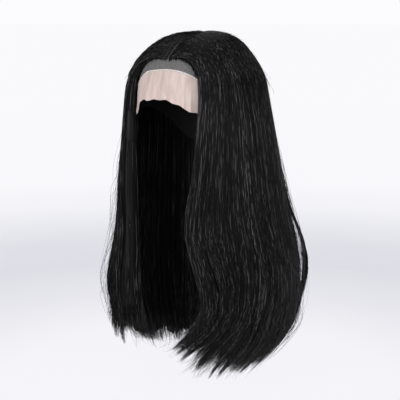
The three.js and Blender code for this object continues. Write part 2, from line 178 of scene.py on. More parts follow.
# Hair sections: the name, the side (1 is the left), and where they start and end, as shares of the turn from
# a front edge (0) to the back of the head (1). Each lock is its share of the section's width and the level
# that its tip reaches, in millimetres.
SECTIONS = (
    ("hair_front_left", 1, 0.0, 0.3, ((0.7, -446), (1.0, -453), (1.1, -479), (1.0, -479))),
    ("hair_side_left", 1, 0.3, 0.64, ((1.0, -484), (1.2, -479), (1.0, -485), (1.1, -478))),
    ("hair_back", 1, 0.64, 1.36, (
        (1.0, -483), (1.1, -478), (1.0, -486), (1.2, -480), (1.0, -488), (1.1, -480), (1.0, -484))),
    ("hair_side_right", -1, 0.3, 0.64, ((1.0, -468), (1.1, -473), (1.2, -470), (1.0, -482))),
    ("hair_front_right", -1, 0.0, 0.3, ((0.8, -431), (1.0, -435), (1.1, -433), (1.0, -448))),
)

# Strands for each share of the turn: outer ones from the parting to the hem, stray ones across them, inner
# ones, short ones that fill the hem, and single fine hairs off the surface, off the hem and off the dome.
STRANDS_PER_SHARE = {
    "hair_front_left": (2300, 450, 500, 2800, 450, 500, 300),
    "hair_side_left": (2100, 400, 500, 2500, 650, 500, 250),
    "hair_back": (1600, 260, 500, 2100, 600, 420, 200),
    "hair_side_right": (1750, 300, 500, 2600, 750, 450, 250),
    "hair_front_right": (2000, 350, 500, 2500, 750, 500, 300),
}

# Radii of strands, and the steps along them, over the dome and down, which each shifts by powers of its own.
# Then the length of a share of the turn, the levels over which the turns of the hem grow, the lowest level of
# stray hairs, and the seed of the draws.
STRAND_RADIUS = (0.20 * MM, 0.34 * MM)
FINE_RADIUS = (0.12 * MM, 0.20 * MM)
STRAND_SIDES = 3
ROOT_END = 0.1
TAPER_FROM = 0.72
DOME_STEPS = (0, 0.05, 0.13, 0.28, 0.46, 0.64, 0.82)
DROP_STEPS = (0, 0.19, 0.36, 0.5, 0.62, 0.72, 0.81, 0.89, 0.95, 1)
INNER_DROP_STEPS = (0, 0.33, 0.57, 0.74, 0.89, 1)
FINE_DROP_STEPS = (0, 0.12, 0.23, 0.32, 0.39, 0.45, 0.51, 0.57, 0.63, 0.69, 0.75, 0.81, 0.87, 0.92, 0.96, 1)
DOME_STEP_POWERS = (0.9, 1.12)
DROP_STEP_POWERS = (0.88, 1.14)
SHARE_LENGTH = 0.27
HEM_FROM = -0.33
HEM_TO = -0.475
LOWEST_STRAY = -0.492
SEED = 41

# Lightness: neighbours in a thin wisp are alike, each strand differs a little, and some are much lighter, as
# painted highlights.
WISP_SHARE = 0.0045
WISP_TINT = 0.48
OWN_TINT = 0.3
PAINTED_HIGHLIGHT_TINTS = (0.6, 1.0)
PAINTED_HIGHLIGHT_STRANDS = 0.25
PAINTED_HIGHLIGHT_STRAYS = 0.4
PAINTED_HIGHLIGHT_HEM = 0.5
LEAST_INNER_TINT = 0.15
MOST_FINE_TINT = 0.5

# Roots, as places along the run over the dome: beside the parting, across its end at the whorl, elsewhere,
# and those of loose locks and of the inner strands. Most strands start at the parting, where the roots lie
# deep, and fewer at the whorl, where they lie higher.
ROOTS_AT_PARTING = (0.0085, 0.027)
ROOTS_AT_WHORL = (-0.045, 0.012)
ROOTS_ELSEWHERE = (0.03, 0.5)
LOOSE_ROOT = 0.1
CAP_EDGE_ROOT = 0.85
AT_PARTING = 0.05
STRANDS_AT_PARTING = 0.72
STRANDS_AT_WHORL = 0.3
WHORL_ROOTS_FROM_SHARE = 0.6
PARTING_DEPTH = -0.19
WHORL_DEPTH = 0.62
ROOT_DEPTH = 0.5
RISE_FROM_ROOT = 0.11
# Painted shade over the dome: the power on the strands' lightness at their roots, easing to none at the brow.
DOME_PAINTED_SHADE = 2.0

# Thin clumps that strands draw together into: their width as a share of the turn, how unevenly they lie and
# how far they mix, as parts of it, their pull, and the turns of their tips, aside and in depth. Each strand's
# own tip turns a little from those, and sinks, and may stand out past the greatest depth.
CLUMP_SHARE = 0.02
CLUMP_UNEVEN = 0.3
CLUMP_MIXING = 0.35
CLUMP_PULL = (0.35, 0.9)
CLUMP_HOOK = 0.020
CLUMP_CURL = 0.16
STRAND_HOOK = 0.006
STRAND_CURL = 0.05
TIP_SINK = 0.10
TIPS_OUT = 0.3
MOST_DEPTH = 1.05

# Tips: most strands end near their lock's tip, and some are cut shorter in layers.
TIP_STEP = 4 * MM
LAYER_STEP = 24 * MM
MOST_SHORTER = 110 * MM

# Common waves of the hanging hair: the height, the length, the turns for each share, and the phase by side
# and for both. Each strand also strays from them, over the dome, sideways and in depth, and the stray ones,
# which lie a little higher, more so. Last are the depths of the outer, the inner and the loose strands,
# and how far the last spread as they stand off.
WAVES = ((3.4 * MM, 0.27, 1.3, 0.7, 0.0), (1.5 * MM, 0.16, 2.9, 0.0, 1.9))
WAVES_GROW_OVER = 0.36
WAVES_FROM_EDGE = 0.14
DOME_WANDER = 0.006
OWN_WAVE = 0.0024
OWN_WAVE_LENGTHS = (0.12, 0.26)
WEAVE = 0.018
WEAVE_LENGTHS = (0.10, 0.2)
OWN_WAVES_GROW_OVER = 0.2
STRAY = 2.2
STRAY_LIFT = 0.03
OUTER_DEPTH_SPREAD = 0.13
INNER_DEPTHS = (0.0, 0.14)
LOOSE_DEPTHS = (0.93, 1.0)
LOOSE_SPREAD = (0.8, 1.0)

# Ends of the front hair turn towards the face, more on the left; those of the right side also turn out.
SWEEP_LEVELS = (-0.385, -0.475)
SWEEP_LEFT = 0.085
SWEEP_RIGHT = 0.03
SWEEP_REACH = 0.16
OUTWARD_CURL = {"hair_front_right": 0.20, "hair_side_right": 0.12}
LIFT_OF_TIPS = {"hair_front_right": 5 * MM, "hair_side_right": 3 * MM, "hair_back": 2 * MM}
USUAL_LIFT = 6 * MM

# The dense hair under the strands: how far its foot stays above the tips; its rags and ripples, each as a
# height, the radians for each share, and a phase; the depths of its faces, at the brow and at the hem, with a
# part of that high on the dome; the depths of its roots, along the parting and at the whorl, where it nearly
# closes; and how far from a front edge it starts.
MASS_SHORT_OF_TIPS = {"hair_back": 22 * MM, "hair_side_right": 22 * MM, "hair_side_left": 26 * MM}
USUAL_MASS_SHORT = 36 * MM
MASS_RAGS = ((4 * MM, 310, 0), (3 * MM, 173, 2))
MASS_RIPPLES = ((0.012, 410, 0), (0.010, 233, 1))
MASS_COLUMNS_PER_SHARE = 250
MASS_ROOT = 0.03
MASS_FULL_FROM = 0.2
MASS_OUTER = (0.86, 0.84)
MASS_INNER = (0.10, 0.14)
MASS_DOME_PART = 0.84
MASS_DOME_PART_TO = 0.6
MASS_ROOT_DEPTHS = (-0.06, 0.6)
MASS_INNER_ROOT_DEPTH = -0.2
MASS_CLOSED = 0.95
MASS_FROM_EDGE = 0.004
LOCK_RELIEF = 0.022

# Locks that stand away from the rest: the section, the middle and half width as shares of the turn, where
# along the run they stand off (0 to 1 over the dome, 1 to 2 hanging), over what length, by how much of the
# hair's thickness, and their strands.
LOOSE_LOCKS = (
    ("hair_back", 0.662, 0.016, 1.60, 0.18, 0.26, 80),
    ("hair_side_left", 0.620, 0.018, 1.54, 0.14, 0.20, 30),
    ("hair_front_right", 0.140, 0.012, 0.68, 0.16, 0.24, 26),
)

# The hair is hollowed on the left, where the loose lock hangs over it, and swells on the right: the side, the
# share, the level, the two half sizes and the depth, the last as a part of the hair's thickness.
HOLLOWS = (
    (1, 0.66, -0.325, 0.12, 0.055, 0.16),
    (-1, 0.14, -0.360, 0.10, 0.045, -0.15),
)

# Pointed tufts in the hem: the section, the middle and half width as shares of the turn, the level of the tip
# in millimetres, how far the tip turns aside, as a share, and outwards, as a part of the thickness, and the
# strands.
TUFTS = (
    ("hair_front_right", 0.155, 0.020, -438, 0.000, 0.56, 46),
    ("hair_front_right", 0.100, 0.020, -445, -0.020, 0.50, 46),
    ("hair_front_right", 0.030, 0.022, -451, -0.005, 0.38, 46),
    ("hair_side_right", 0.330, 0.030, -462, 0.020, 0.10, 36),
    ("hair_front_left", 0.030, 0.022, -443, -0.020, 0.00, 46),
    ("hair_front_left", 0.075, 0.022, -451, -0.045, 0.00, 50),
    ("hair_front_left", 0.120, 0.022, -461, -0.060, 0.00, 50),
    ("hair_front_left", 0.205, 0.020, -487, 0.015, 0.05, 44),
    ("hair_front_left", 0.245, 0.018, -487, 0.012, 0.05, 36),
    ("hair_side_left", 0.400, 0.030, -486, -0.020, 0.05, 30),
    ("hair_back", 0.985, 0.030, -486, 0.010, 0.00, 36),
    ("hair_back", 1.020, 0.030, -485, -0.010, 0.00, 36),
)

# The narrow front lock of the left curtain stands apart from the rest: the share where it parts, the level of
# the widest gap, the gap's half height and its width, the half share of the sparse strands that cross it, how
# far the push behind it fades, where the dense hair starts again, where the hair falls straight, how far the
# lock itself swings back, how far its strands' waves differ in level, its strands, their depths and share of
# painted highlights, and the light painted into its edges. The right curtain has a narrower row of strands
# along its front edge.
SPLIT_SECTION = "hair_front_left"
SLIT_SHARE = 0.058
SLIT_LEVEL = -0.345
SLIT_HALF_HEIGHT = 0.06
SLIT_WIDTH = 4.0 * MM
SLIT_THREADS = 0.006
SLIT_FADE = 0.07
BEHIND_SLIT = SLIT_SHARE + 0.01
STRAIGHT_FROM = 0.2
FRONT_LOCK_SWING = 3.0 * MM
UNRULY = 9 * MM
FRONT_LOCK_STRANDS = 280
FRONT_LOCK_DEPTHS = (0.08, 0.97)
PAINTED_HIGHLIGHT_FRONT = 0.15
PAINTED_EDGE_LIGHT = 0.4
LIT_FRONT_TO = 0.2
LIT_BACK_FROM = 0.4
FRONT_EDGE_STRANDS = 110
FRONT_EDGE_FROM = 0.003
FRONT_EDGE_REACH = 0.014

# Wisps that point down off the hairline: where along it they start, how far behind, as a share, their slant,
# the least length, the mean of what they have more, the radius, the steps along them and the taper at those,
# their lift off the lace and the lightness.
SPIKES_ALONG = (0.012, 0.62)
SPIKES_BEHIND = (0.0, 0.008)
SPIKE_SLANT = 0.35
SPIKE_LENGTH = 2.2 * MM
SPIKE_MORE = 1.3 * MM
SPIKE_RADIUS = (0.28 * MM, 0.55 * MM)
SPIKE_STEPS = np.array((-0.8, 0.0, 0.5, 1.0))
SPIKE_TAPER = np.array((0.8, 1.0, 0.6, 0.12))
SPIKE_LIFT = 0.4 * MM
MOST_SPIKE_TINT = 0.2

# Short lengths in the hem: their lengths, depths, turns aside and in depth, sinking and greatest depth; and
# the part that is cut in layers. The tufts have the same, with the pull to a point and its depth.
HEM_LENGTHS = (0.075, 0.16)
HEM_DEPTHS = (0.12, 0.93)
HEM_HOOK = 0.010
HEM_CURL = 0.09
HEM_SINK = 0.08
HEM_MOST_DEPTH = 1.04
HEM_LAYERED = 0.18
TUFT_LENGTHS = (0.07, 0.13)
TUFT_TIP_STEP = 5 * MM
TUFT_DEPTHS = (0.5, 0.97)
TUFT_HOOK = 0.004
TUFT_CURL = 0.03
TUFT_PULL = 0.9
TUFT_TIP_DEPTH = 0.85
TUFT_DEPTH_PULL = 0.8

# Single fine hairs off the surface: its depth, the levels where they start, at least so far above the tips,
# their lengths, where they end about the tips, how far they stand off, at most, over what part of an arch,
# and how far they sway. Those off the hem start above its tips, end about them and turn aside and in depth.
# Those off the dome start and run along it, rise from it and sway.
SURFACE_DEPTH = 0.95
FLYAWAY_LEVELS = (-0.43, -0.13)
FLYAWAY_LENGTHS = (0.05, 0.15)
FLYAWAY_ABOVE_TIPS = 0.03
FLYAWAY_ENDS = (-0.008, 0.03)
FLYAWAY_STAND_OFF = 0.16
FLYAWAY_MOST = 0.42
FLYAWAY_ARCS = (0.5, 1.0)
FLYAWAY_SWAY = 0.028
HEM_STRAY_STARTS = (0.03, 0.08)
HEM_STRAY_ENDS = (-0.02, 0.010)
HEM_STRAY_HOOK = (-0.02, 0.05)
HEM_STRAY_DEPTHS = (0.2, 0.95)
HEM_STRAY_CURL = 0.3
HEM_STRAY_MOST = 1.25
FUZZ_STARTS = (0.02, 0.75)
FUZZ_RUNS = (0.06, 0.2)
FUZZ_RISE = 0.13
FUZZ_MOST = 0.4
FUZZ_SWAY = 0.02


def mix(a, b, t):
    return a + (b - a) * t


def smoothstep(low, high, x):
    t = np.clip((x - low) / (high - low), 0, 1)
    return t * t * (3 - 2 * t)


def unit(v):
    return v / np.maximum(np.linalg.norm(v, axis=-1, keepdims=True), 1e-12)


def stack(x, y, z):
    return np.stack(np.broadcast_arrays(x, y, z), axis=-1)


def sines(at, rows):
    """Sum of sine waves, each row a height, the radians for each unit and a phase."""
    return sum(height * np.sin(at * rate + phase) for height, rate, phase in rows)


def curve_through(keys, values, at):
    """Values at the given keys, on a smooth curve through a table's rows; the keys rise."""
    last = len(keys) - 1
    ahead = np.minimum(np.arange(last + 1) + 1, last)
    behind = np.maximum(np.arange(last + 1) - 1, 0)
    slopes = (values[ahead] - values[behind]) / (keys[ahead] - keys[behind])
    at = np.clip(at, keys[0], keys[-1])
    i = np.clip(np.searchsorted(keys, at, side="right") - 1, 0, last - 1)
    step = keys[i + 1] - keys[i]
    t = (at - keys[i]) / step
    return ((2 * t**3 - 3 * t**2 + 1) * values[i] + (t**3 - 2 * t**2 + t) * step * slopes[i]
            + (3 * t**2 - 2 * t**3) * values[i + 1] + (t**3 - t**2) * step * slopes[i + 1])


def level(name, z):
    return curve_through(-HAIR_LEVELS["z"], HAIR_LEVELS[name], -z)


def cap_edge(deg):
    return curve_through(CAP_EDGE["deg"], CAP_EDGE["z"], np.abs(deg))


def lace_edge(name, deg):
    return curve_through(LACE_EDGES["deg"], LACE_EDGES[name], deg)


def facing(angle):
    """How far a compass angle faces forwards, from 0 at the back of the head to 1 at the face."""
    return smoothstep(-FACING_BAND, FACING_BAND, np.cos(angle))


def oval_point(angle, half_width, half_length, squareness, z):
    s, c = np.sin(angle), np.cos(angle)
    share = (np.abs(s) ** squareness + np.abs(c) ** squareness) ** (-1 / squareness)
    return stack(half_width * share * s, -half_length * share * c, z)


def head_squareness(angle):
    return mix(NAPE_SQUARENESS, BROW_SQUARENESS, facing(angle))


def head_point(angle, z, offset):
    """Point on the head form, grown outwards by an offset, at a compass angle and a level."""
    squareness = head_squareness(angle)
    above = (z + CROWN_TO_BROW) / (CROWN_TO_BROW + offset)
    below = (-CROWN_TO_BROW - z) / BROW_TO_CHIN
    height = np.clip(np.where(z > -CROWN_TO_BROW, above, below), 0, 1)
    share = np.maximum(0, 1 - height**squareness) ** (1 / squareness)
    half_width, half_length = (HEAD_HALF_WIDTH + offset) * share, (HEAD_HALF_LENGTH + offset) * share
    return oval_point(angle, half_width, half_length, PLAN_SQUARENESS, z)


def fold_side(side, share):
    """A share of the turn past the back of the head is one of the other side."""
    return np.where(share > 1, -side, side), np.where(share > 1, 2 - share, share)


def from_front(share):
    """Share of the turn from the nearer front edge."""
    return np.minimum(share, 2 - share)


def fall_angle(side, share, edge_left, edge_right):
    return side * np.radians(mix(np.where(side > 0, edge_left, edge_right), 180, share))


def on_dome(way, half_width, half_length, rise, squareness, plan):
    flat = (np.abs(way[..., 0]) ** plan + np.abs(way[..., 1]) ** plan) ** (1 / plan)
    reach = (flat**squareness + np.abs(way[..., 2]) ** squareness) ** (-1 / squareness)
    return stack(way[..., 0] * reach * half_width, way[..., 1] * reach * half_length,
                 way[..., 2] * reach * rise - CROWN_TO_BROW)


def dome_head(way, offset):
    """Point on the upper head form, grown outwards by an offset, in a direction from the brow's level."""
    angle = np.arctan2(way[..., 0], -way[..., 1])
    return on_dome(way, HEAD_HALF_WIDTH + offset, HEAD_HALF_LENGTH + offset, CROWN_TO_BROW + offset,
                   head_squareness(angle), PLAN_SQUARENESS)


def dome_hair(side, share, along, depth):
    """Hair over the dome: from the parting (along 0) to the brow (1), between the cap and the outer form."""
    side, share = fold_side(side, share)
    top = {name: values[0] for name, values in HAIR_LEVELS.items()}
    fall = fall_angle(side, share, top["edge_left"], top["edge_right"])
    root_share = np.minimum(1, share / PARTING_BACK_SHARE)
    lean = np.radians(mix(PARTING_FRONT_DEG, PARTING_BACK_DEG, root_share))
    root = stack(PARTING_SWAY * np.sin(root_share * np.pi), -np.sin(lean), np.cos(lean))
    brow = stack(np.sin(fall), -np.cos(fall), 0 * fall)
    bow = stack(DOME_BOW_OUT * np.sin(fall), DOME_BOW_OUT * np.maximum(0, np.cos(fall)), DOME_BOW_UP)
    bend = unit((root + brow) / 2 + bow)
    a = np.asarray(along)[..., None]
    way = unit(root * (1 - a) ** 2 + bend * 2 * a * (1 - a) + brow * a**2)
    heading = facing(np.arctan2(way[..., 0], -way[..., 1]))
    inner = dome_head(way, CAP_WALL + HAIR_GAP)
    half_width = np.where(side > 0, top["left"], top["right"])
    half_length = mix(top["back"], top["front"], heading)
    outer = on_dome(way, half_width, half_length, DOME_RISE,
                    mix(DOME_BACK_SQUARENESS, DOME_FRONT_SQUARENESS, heading), top["square"])
    return mix(inner, outer, np.asarray(depth)[..., None])


def hanging_hair(side, share, z, depth):
    """Hanging hair at a level, between the outer face and an inner one that keeps clear of the head."""
    side, share = fold_side(side, share)
    fall = fall_angle(side, share, level("edge_left", z), level("edge_right", z))
    across = np.where(side > 0, level("left", z), level("right", z))
    lengthways = mix(level("back", z), level("front", z), facing(fall))
    square, wall = level("square", z), level("wall", z)
    outer = oval_point(fall, across, lengthways, square, z)
    inner = oval_point(fall, across - wall, lengthways - wall, square, z)
    head = head_point(fall, z, CAP_WALL + HAIR_GAP)
    nearer = np.hypot(head[..., 0], head[..., 1]) > np.hypot(inner[..., 0], inner[..., 1])
    inner = np.where(nearer[..., None], head, inner)
    return mix(inner, outer, np.asarray(depth)[..., None])


# Meshes from arrays.

NO_TRIANGLES = np.zeros((0, 3), int)
NO_QUADS = np.zeros((0, 4), int)

# Keeps a point on the upright axis from having no direction.
OFF_AXIS = np.array((1e-4, 2e-4, 3e-4))


class MeshArrays:
    """Vertices, quads and triangles of several parts, with a tint and a flow vector for each vertex."""

    def __init__(self):
        self.parts = []
        self.count = 0

    def add(self, vertices, quads, triangles, tint=0.0, flow=(0, 0, 0), slot=0):
        n = len(vertices)
        self.parts.append((
            vertices, quads + self.count, triangles + self.count, np.broadcast_to(tint, (n,)),
            np.broadcast_to(flow, (n, 3)), np.full(len(quads), slot), np.full(len(triangles), slot)))
        self.count += n

    def build(self, name, materials, sharp_deg=None):
        vertices, quads, triangles, tints, flows, *slots = map(np.concatenate, zip(*self.parts))
        mesh = bpy.data.meshes.new(name)
        mesh.from_pydata(vertices.tolist(), [], quads.tolist() + triangles.tolist(), shade_flat=False)
        mesh.polygons.foreach_set("material_index", np.concatenate(slots).astype(np.int32))
        tint = mesh.attributes.new("tint", "FLOAT", "POINT")
        tint.data.foreach_set("value", tints.astype(np.float32))
        flow = mesh.attributes.new("flow", "FLOAT_VECTOR", "POINT")
        flow.data.foreach_set("vector", flows.astype(np.float32).ravel())
        if sharp_deg is not None:
            mesh.set_sharp_from_angle(angle=math.radians(sharp_deg))
        mesh.validate()
        for material in materials:
            mesh.materials.append(material)
        piece = bpy.data.objects.new(name, mesh)
        bpy.context.scene.collection.objects.link(piece)
        return piece


def finish_piece(piece, node):
    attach(piece, "root")
    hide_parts(node)
    return piece


def tubes(points, radius, sides=STRAND_SIDES):
    """Closed tubes of a few sides along rows of points: vertices, quads and end triangles."""
    n, k, _ = points.shape
    along = unit(np.gradient(points, axis=1))
    middle = points * np.array((0, 0, 1))
    middle[..., 2] = np.minimum(middle[..., 2], -CROWN_TO_BROW)
    outward = unit(points - middle + OFF_AXIS)
    across = unit(np.cross(along, outward))
    upward = np.cross(across, along)
    turn = np.arange(sides) / sides * 2 * np.pi
    ring = across[..., None, :] * np.cos(turn)[:, None] + upward[..., None, :] * np.sin(turn)[:, None]
    vertices = (points[..., None, :] + ring * radius[..., None, None]).reshape(-1, 3)
    base = (np.arange(n)[:, None, None] * k + np.arange(k - 1)[None, :, None]) * sides
    here, following = base + np.arange(sides), base + (np.arange(sides) + 1) % sides
    quads = np.stack((here, following, following + sides, here + sides), axis=-1).reshape(-1, 4)
    first = np.arange(n)[:, None] * k * sides
    ends = np.concatenate((first + np.arange(sides)[::-1], first + (k - 1) * sides + np.arange(sides)))
    fans = np.stack([ends[:, (0, i, i + 1)] for i in range(1, sides - 1)], axis=1)
    return vertices, quads, fans.reshape(-1, 3)


def slab(outer, inner, wrap=False):
    """Closed wall between two grids of points, rows by columns; wrap joins the last column to the first."""
    rows, columns, _ = outer.shape
    vertices = np.concatenate((outer.reshape(-1, 3), inner.reshape(-1, 3)))
    front = np.arange(rows * columns).reshape(rows, columns)
    if wrap:
        front = np.concatenate((front, front[:, :1]), axis=1)
    back = front + rows * columns
    strips = [
        (front[:-1, :-1], front[1:, :-1], front[1:, 1:], front[:-1, 1:]),
        (back[:-1, 1:], back[1:, 1:], back[1:, :-1], back[:-1, :-1]),
        (front[0, :-1], front[0, 1:], back[0, 1:], back[0, :-1]),
        (front[-1, 1:], front[-1, :-1], back[-1, :-1], back[-1, 1:])]
    if not wrap:
        strips += [
            (front[1:, 0], front[:-1, 0], back[:-1, 0], back[1:, 0]),
            (front[:-1, -1], front[1:, -1], back[1:, -1], back[:-1, -1])]
    quads = np.concatenate([np.stack(strip, axis=-1).reshape(-1, 4) for strip in strips])
    return vertices, outwards(vertices, quads)


def outwards(vertices, quads):
    """Quads turned so that the closed wall's faces look outwards."""
    a, b, c, d = (vertices[quads[:, i]] for i in range(4))
    volume = np.sum(a * np.cross(b, c)) + np.sum(a * np.cross(c, d))
    return quads if volume > 0 else quads[:, ::-1]


# Materials.

# Net: the slant of its threads, the waves that a unit holds, and how far it spreads outwards over the crown.
NET_SLANT = math.radians(32)
WAVES_PER_UNIT = 3.2
NET_SPREAD = 0.4


class NodeGraph:
    """Nodes of a material or of the surroundings; each input is a constant or the output of another node."""

    def __init__(self, owner):
        owner.use_nodes = True
        self.owner, self.tree = owner, owner.node_tree

    def fill(self, node, inputs):
        for name, value in inputs.items():
            if isinstance(value, bpy.types.NodeSocket):
                self.tree.links.new(value, node.inputs[name])
            else:
                node.inputs[name].default_value = value

    def add(self, kind, output, inputs=None, **settings):
        """Output of a new node with its settings and inputs."""
        node = self.tree.nodes.new("ShaderNode" + kind)
        for name, value in settings.items():
            setattr(node, name, value)
        self.fill(node, inputs or {})
        return node.outputs[output]

    def attribute(self, name, output):
        return self.add("Attribute", output, attribute_name=name)

    def noise(self, vector, stretch, detail):
        """Noise over a vector whose parts are stretched first."""
        stretched = self.add("Mapping", "Vector", {"Vector": vector, "Scale": stretch})
        return self.add("TexNoise", "Fac", {"Vector": stretched, "Scale": 1.0, "Detail": detail})

    def map_range(self, value, low_high, to_low_high):
        ends = zip(("From Min", "From Max", "To Min", "To Max"), (*low_high, *to_low_high))
        return self.add("MapRange", "Result", {"Value": value, **dict(ends)})

    def ramp(self, value, *stops):
        """Colour at a value, between stops of a position and a colour."""
        node = self.tree.nodes.new("ShaderNodeValToRGB")
        elements = node.color_ramp.elements
        while len(elements) < len(stops):
            elements.new(0.5)
        for element, (position, colour) in zip(elements, stops):
            element.position = position
            element.color = (*colour, 1)
        self.fill(node, {"Fac": value})
        return node.outputs["Color"]

    def mix(self, factor, a, b, blend="MIX"):
        inputs = {"Factor": factor, "A": a, "B": b}
        return self.add("Mix", "Result", inputs, data_type="RGBA", blend_type=blend)

    def net(self, flow, pitch):
        """Height of a fine net: two families of threads that cross, at a pitch in metres."""
        families = []
        for turn in (NET_SLANT, -NET_SLANT):
            turned = self.add("Mapping", "Vector", {"Vector": flow, "Rotation": (0, 0, turn)})
            wave = {"Vector": turned, "Scale": 1 / pitch / WAVES_PER_UNIT, "Distortion": 0.4}
            families.append(self.add("TexWave", "Fac", wave, bands_direction="X"))
        return self.add("Math", "Value", dict(enumerate(families)), operation="MAXIMUM")

    def bump(self, height, strength, distance):
        return self.add("Bump", "Normal", {"Height": height, "Strength": strength, "Distance": distance})

    def surface(self, inputs):
        """The material, with the inputs of its surface filled."""
        self.fill(self.tree.nodes["Principled BSDF"], inputs)
        return self.owner


def new_material(name):
    return NodeGraph(bpy.data.materials.new(name))


def strand_material():
    """Near-black fibre; each strand has its own depth of colour and gloss, and is painted lighter in short
    glints, as painted highlights.
    """
    graph = new_material("hair_strand")
    # Painted highlights: noise along each strand lightens it in short glints.
    spots = graph.noise(graph.add("TexCoord", "Object"), (420, 420, 24), 1)
    painted_glint = graph.map_range(spots, (0.38, 0.62), (0.42, 1.12))
    tint = graph.add("Math", "Value", {0: graph.attribute("tint", "Fac"), 1: painted_glint}, operation="MULTIPLY")
    colour = graph.ramp(tint, (0.0, (0.0016, 0.0016, 0.0018)), (0.5, (0.0055, 0.0053, 0.0056)),
                        (1.0, (0.125, 0.120, 0.122)))
    return graph.surface({"Base Color": colour, "Roughness": graph.map_range(tint, (0, 1), (0.36, 0.52)),
                          "Specular IOR Level": 0.2})


def mass_material():
    """The dense hair under the outer strands: dark, striped along its fall."""
    graph = new_material("hair_mass")
    stripes = graph.noise(graph.attribute("flow", "Vector"), (420, 3, 1), 4)
    colour = graph.ramp(stripes, (0.3, (0.0018, 0.0018, 0.0019)), (0.75, (0.005, 0.0048, 0.0048)))
    return graph.surface({"Base Color": colour, "Roughness": 0.5, "Specular IOR Level": 0.15,
                          "Normal": graph.bump(stripes, 0.6, 0.6 * MM)})


def lace_material():
    """Fine sheer lace, pinkish beige, in soft upright blotches, with its net in relief and painted shade
    between its threads.
    """
    graph = new_material("front_lace")
    flow = graph.attribute("flow", "Vector")
    net = graph.net(flow, 1.1 * MM)
    colour = graph.ramp(graph.noise(flow, (75, 22, 1), 3), (0.30, (0.45, 0.35, 0.315)),
                        (0.5, (0.56, 0.45, 0.415)), (0.72, (0.63, 0.54, 0.515)))
    # Painted shade in the hollows between the net's threads.
    shade = graph.ramp(net, (0.15, (0.80, 0.78, 0.77)), (0.6, (1, 1, 1)))
    return graph.surface({"Base Color": graph.mix(0.5, colour, shade, "MULTIPLY"), "Roughness": 0.7,
                          "Specular IOR Level": 0.25, "Sheen Weight": 0.15,
                          "Normal": graph.bump(net, 0.35, 0.25 * MM)})


def closure_material():
    """Grey fine lace with dark root knots tied into it, and an even grey under the hair."""
    graph = new_material("closure_lace")
    flow = graph.attribute("flow", "Vector")
    knots = graph.add("TexVoronoi", "Distance", {"Vector": flow, "Scale": 1 / (1.6 * MM)})
    bare = graph.ramp(knots, (0.10, (0.05, 0.048, 0.05)), (0.32, (0.125, 0.12, 0.122)),
                      (0.8, (0.155, 0.15, 0.152)))
    colour = graph.mix(graph.attribute("tint", "Fac"), bare, (0.11, 0.106, 0.108, 1))
    return graph.surface({"Base Color": colour, "Roughness": 0.8, "Specular IOR Level": 0.25,
                          "Normal": graph.bump(graph.net(flow, 1.0 * MM), 0.4, 0.25 * MM)})


def cap_material():
    """Matt black stretch net."""
    graph = new_material("cap_net")
    net = graph.net(graph.attribute("flow", "Vector"), 1.8 * MM)
    colour = graph.ramp(net, (0.2, (0.006, 0.006, 0.006)), (0.8, (0.022, 0.021, 0.022)))
    return graph.surface({"Base Color": colour, "Roughness": 0.82, "Specular IOR Level": 0.2,
                          "Normal": graph.bump(net, 0.7, 0.5 * MM)})


def seam_material():
    """Lace-coloured tape with off-white thread over it."""
    graph = new_material("seam_thread")
    twist = graph.noise(graph.attribute("flow", "Vector"), (2200, 600, 1), 2)
    thread = graph.ramp(twist, (0.3, (0.80, 0.76, 0.75)), (0.7, (0.92, 0.89, 0.88)))
    tape = graph.ramp(twist, (0.3, (0.46, 0.39, 0.375)), (0.7, (0.62, 0.54, 0.52)))
    return graph.surface({"Base Color": graph.mix(graph.attribute("tint", "Fac"), tape, thread),
                          "Roughness": 0.65, "Normal": graph.bump(twist, 0.3, 0.15 * MM)})


# Hair.

class Hair:
    """A piece of hair: its section, its random draws, its mesh, and its locks and thin clumps.

    Strands draw together into the clumps below the shoulder. Each clump has a middle, a pull, its own turns
    at the tip, sideways and outwards, and a lift of the tip.
    """

    def __init__(self, section, span, seed):
        self.name, self.side, self.start, end, locks = section
        self.span = span
        self.rng = rng = np.random.default_rng(seed)
        self.mesh = MeshArrays()
        width = end - self.start
        lock_widths, tips = np.array(locks).T
        self.tips = tips * MM
        self.edges = self.start + width * np.concatenate(((0,), np.cumsum(lock_widths))) / lock_widths.sum()
        n = math.ceil(width / CLUMP_SHARE)
        self.step = width / n
        self.clumps = np.stack((
            self.start + (np.arange(n) + 0.5 + rng.uniform(-CLUMP_UNEVEN, CLUMP_UNEVEN, n)) * self.step,
            rng.uniform(*CLUMP_PULL, n),
            rng.normal(0, CLUMP_HOOK, n),
            rng.normal(OUTWARD_CURL.get(self.name, 0.0), CLUMP_CURL, n),
            rng.exponential(LIFT_OF_TIPS.get(self.name, USUAL_LIFT), n)))

    def rows_of(self, rows):
        """Rows of a table that are of this piece, by their section and their middle, without the section."""
        return [row[1:] for row in rows if row[0] == self.name and self.span[0] <= row[1] < self.span[1]]

    def lock_at(self, share):
        """For each share: the lock's tip level, and the place across it from -1 to 1."""
        i = np.clip(np.searchsorted(self.edges, share, side="right") - 1, 0, len(self.tips) - 1)
        return self.tips[i], (share - self.edges[i]) / (self.edges[i + 1] - self.edges[i]) * 2 - 1

    def clump_of(self, share):
        """Values of the clump that each strand belongs to, one column each."""
        place = (share - self.start) / self.step + self.rng.normal(0, CLUMP_MIXING, share.shape)
        return self.clumps[:, np.clip(place.astype(int), 0, self.clumps.shape[1] - 1), None]


def waves(side, share, z):
    """Sideways run of the hair, as a share of the turn: long gentle waves that grow towards the hem."""
    grown = np.clip((-CROWN_TO_BROW - z) / WAVES_GROW_OVER, 0, 1) ** 1.3
    fall = grown * smoothstep(0.0, WAVES_FROM_EDGE, from_front(share))
    shift = sum(height * np.sin(2 * np.pi * (z / length + turns * share) + by_side * side + phase)
                for height, length, turns, by_side, phase in WAVES)
    return ((fall * shift + slit(side, share, z)) / SHARE_LENGTH + sweep(side, share, z)
            + straighten(side, share, z))


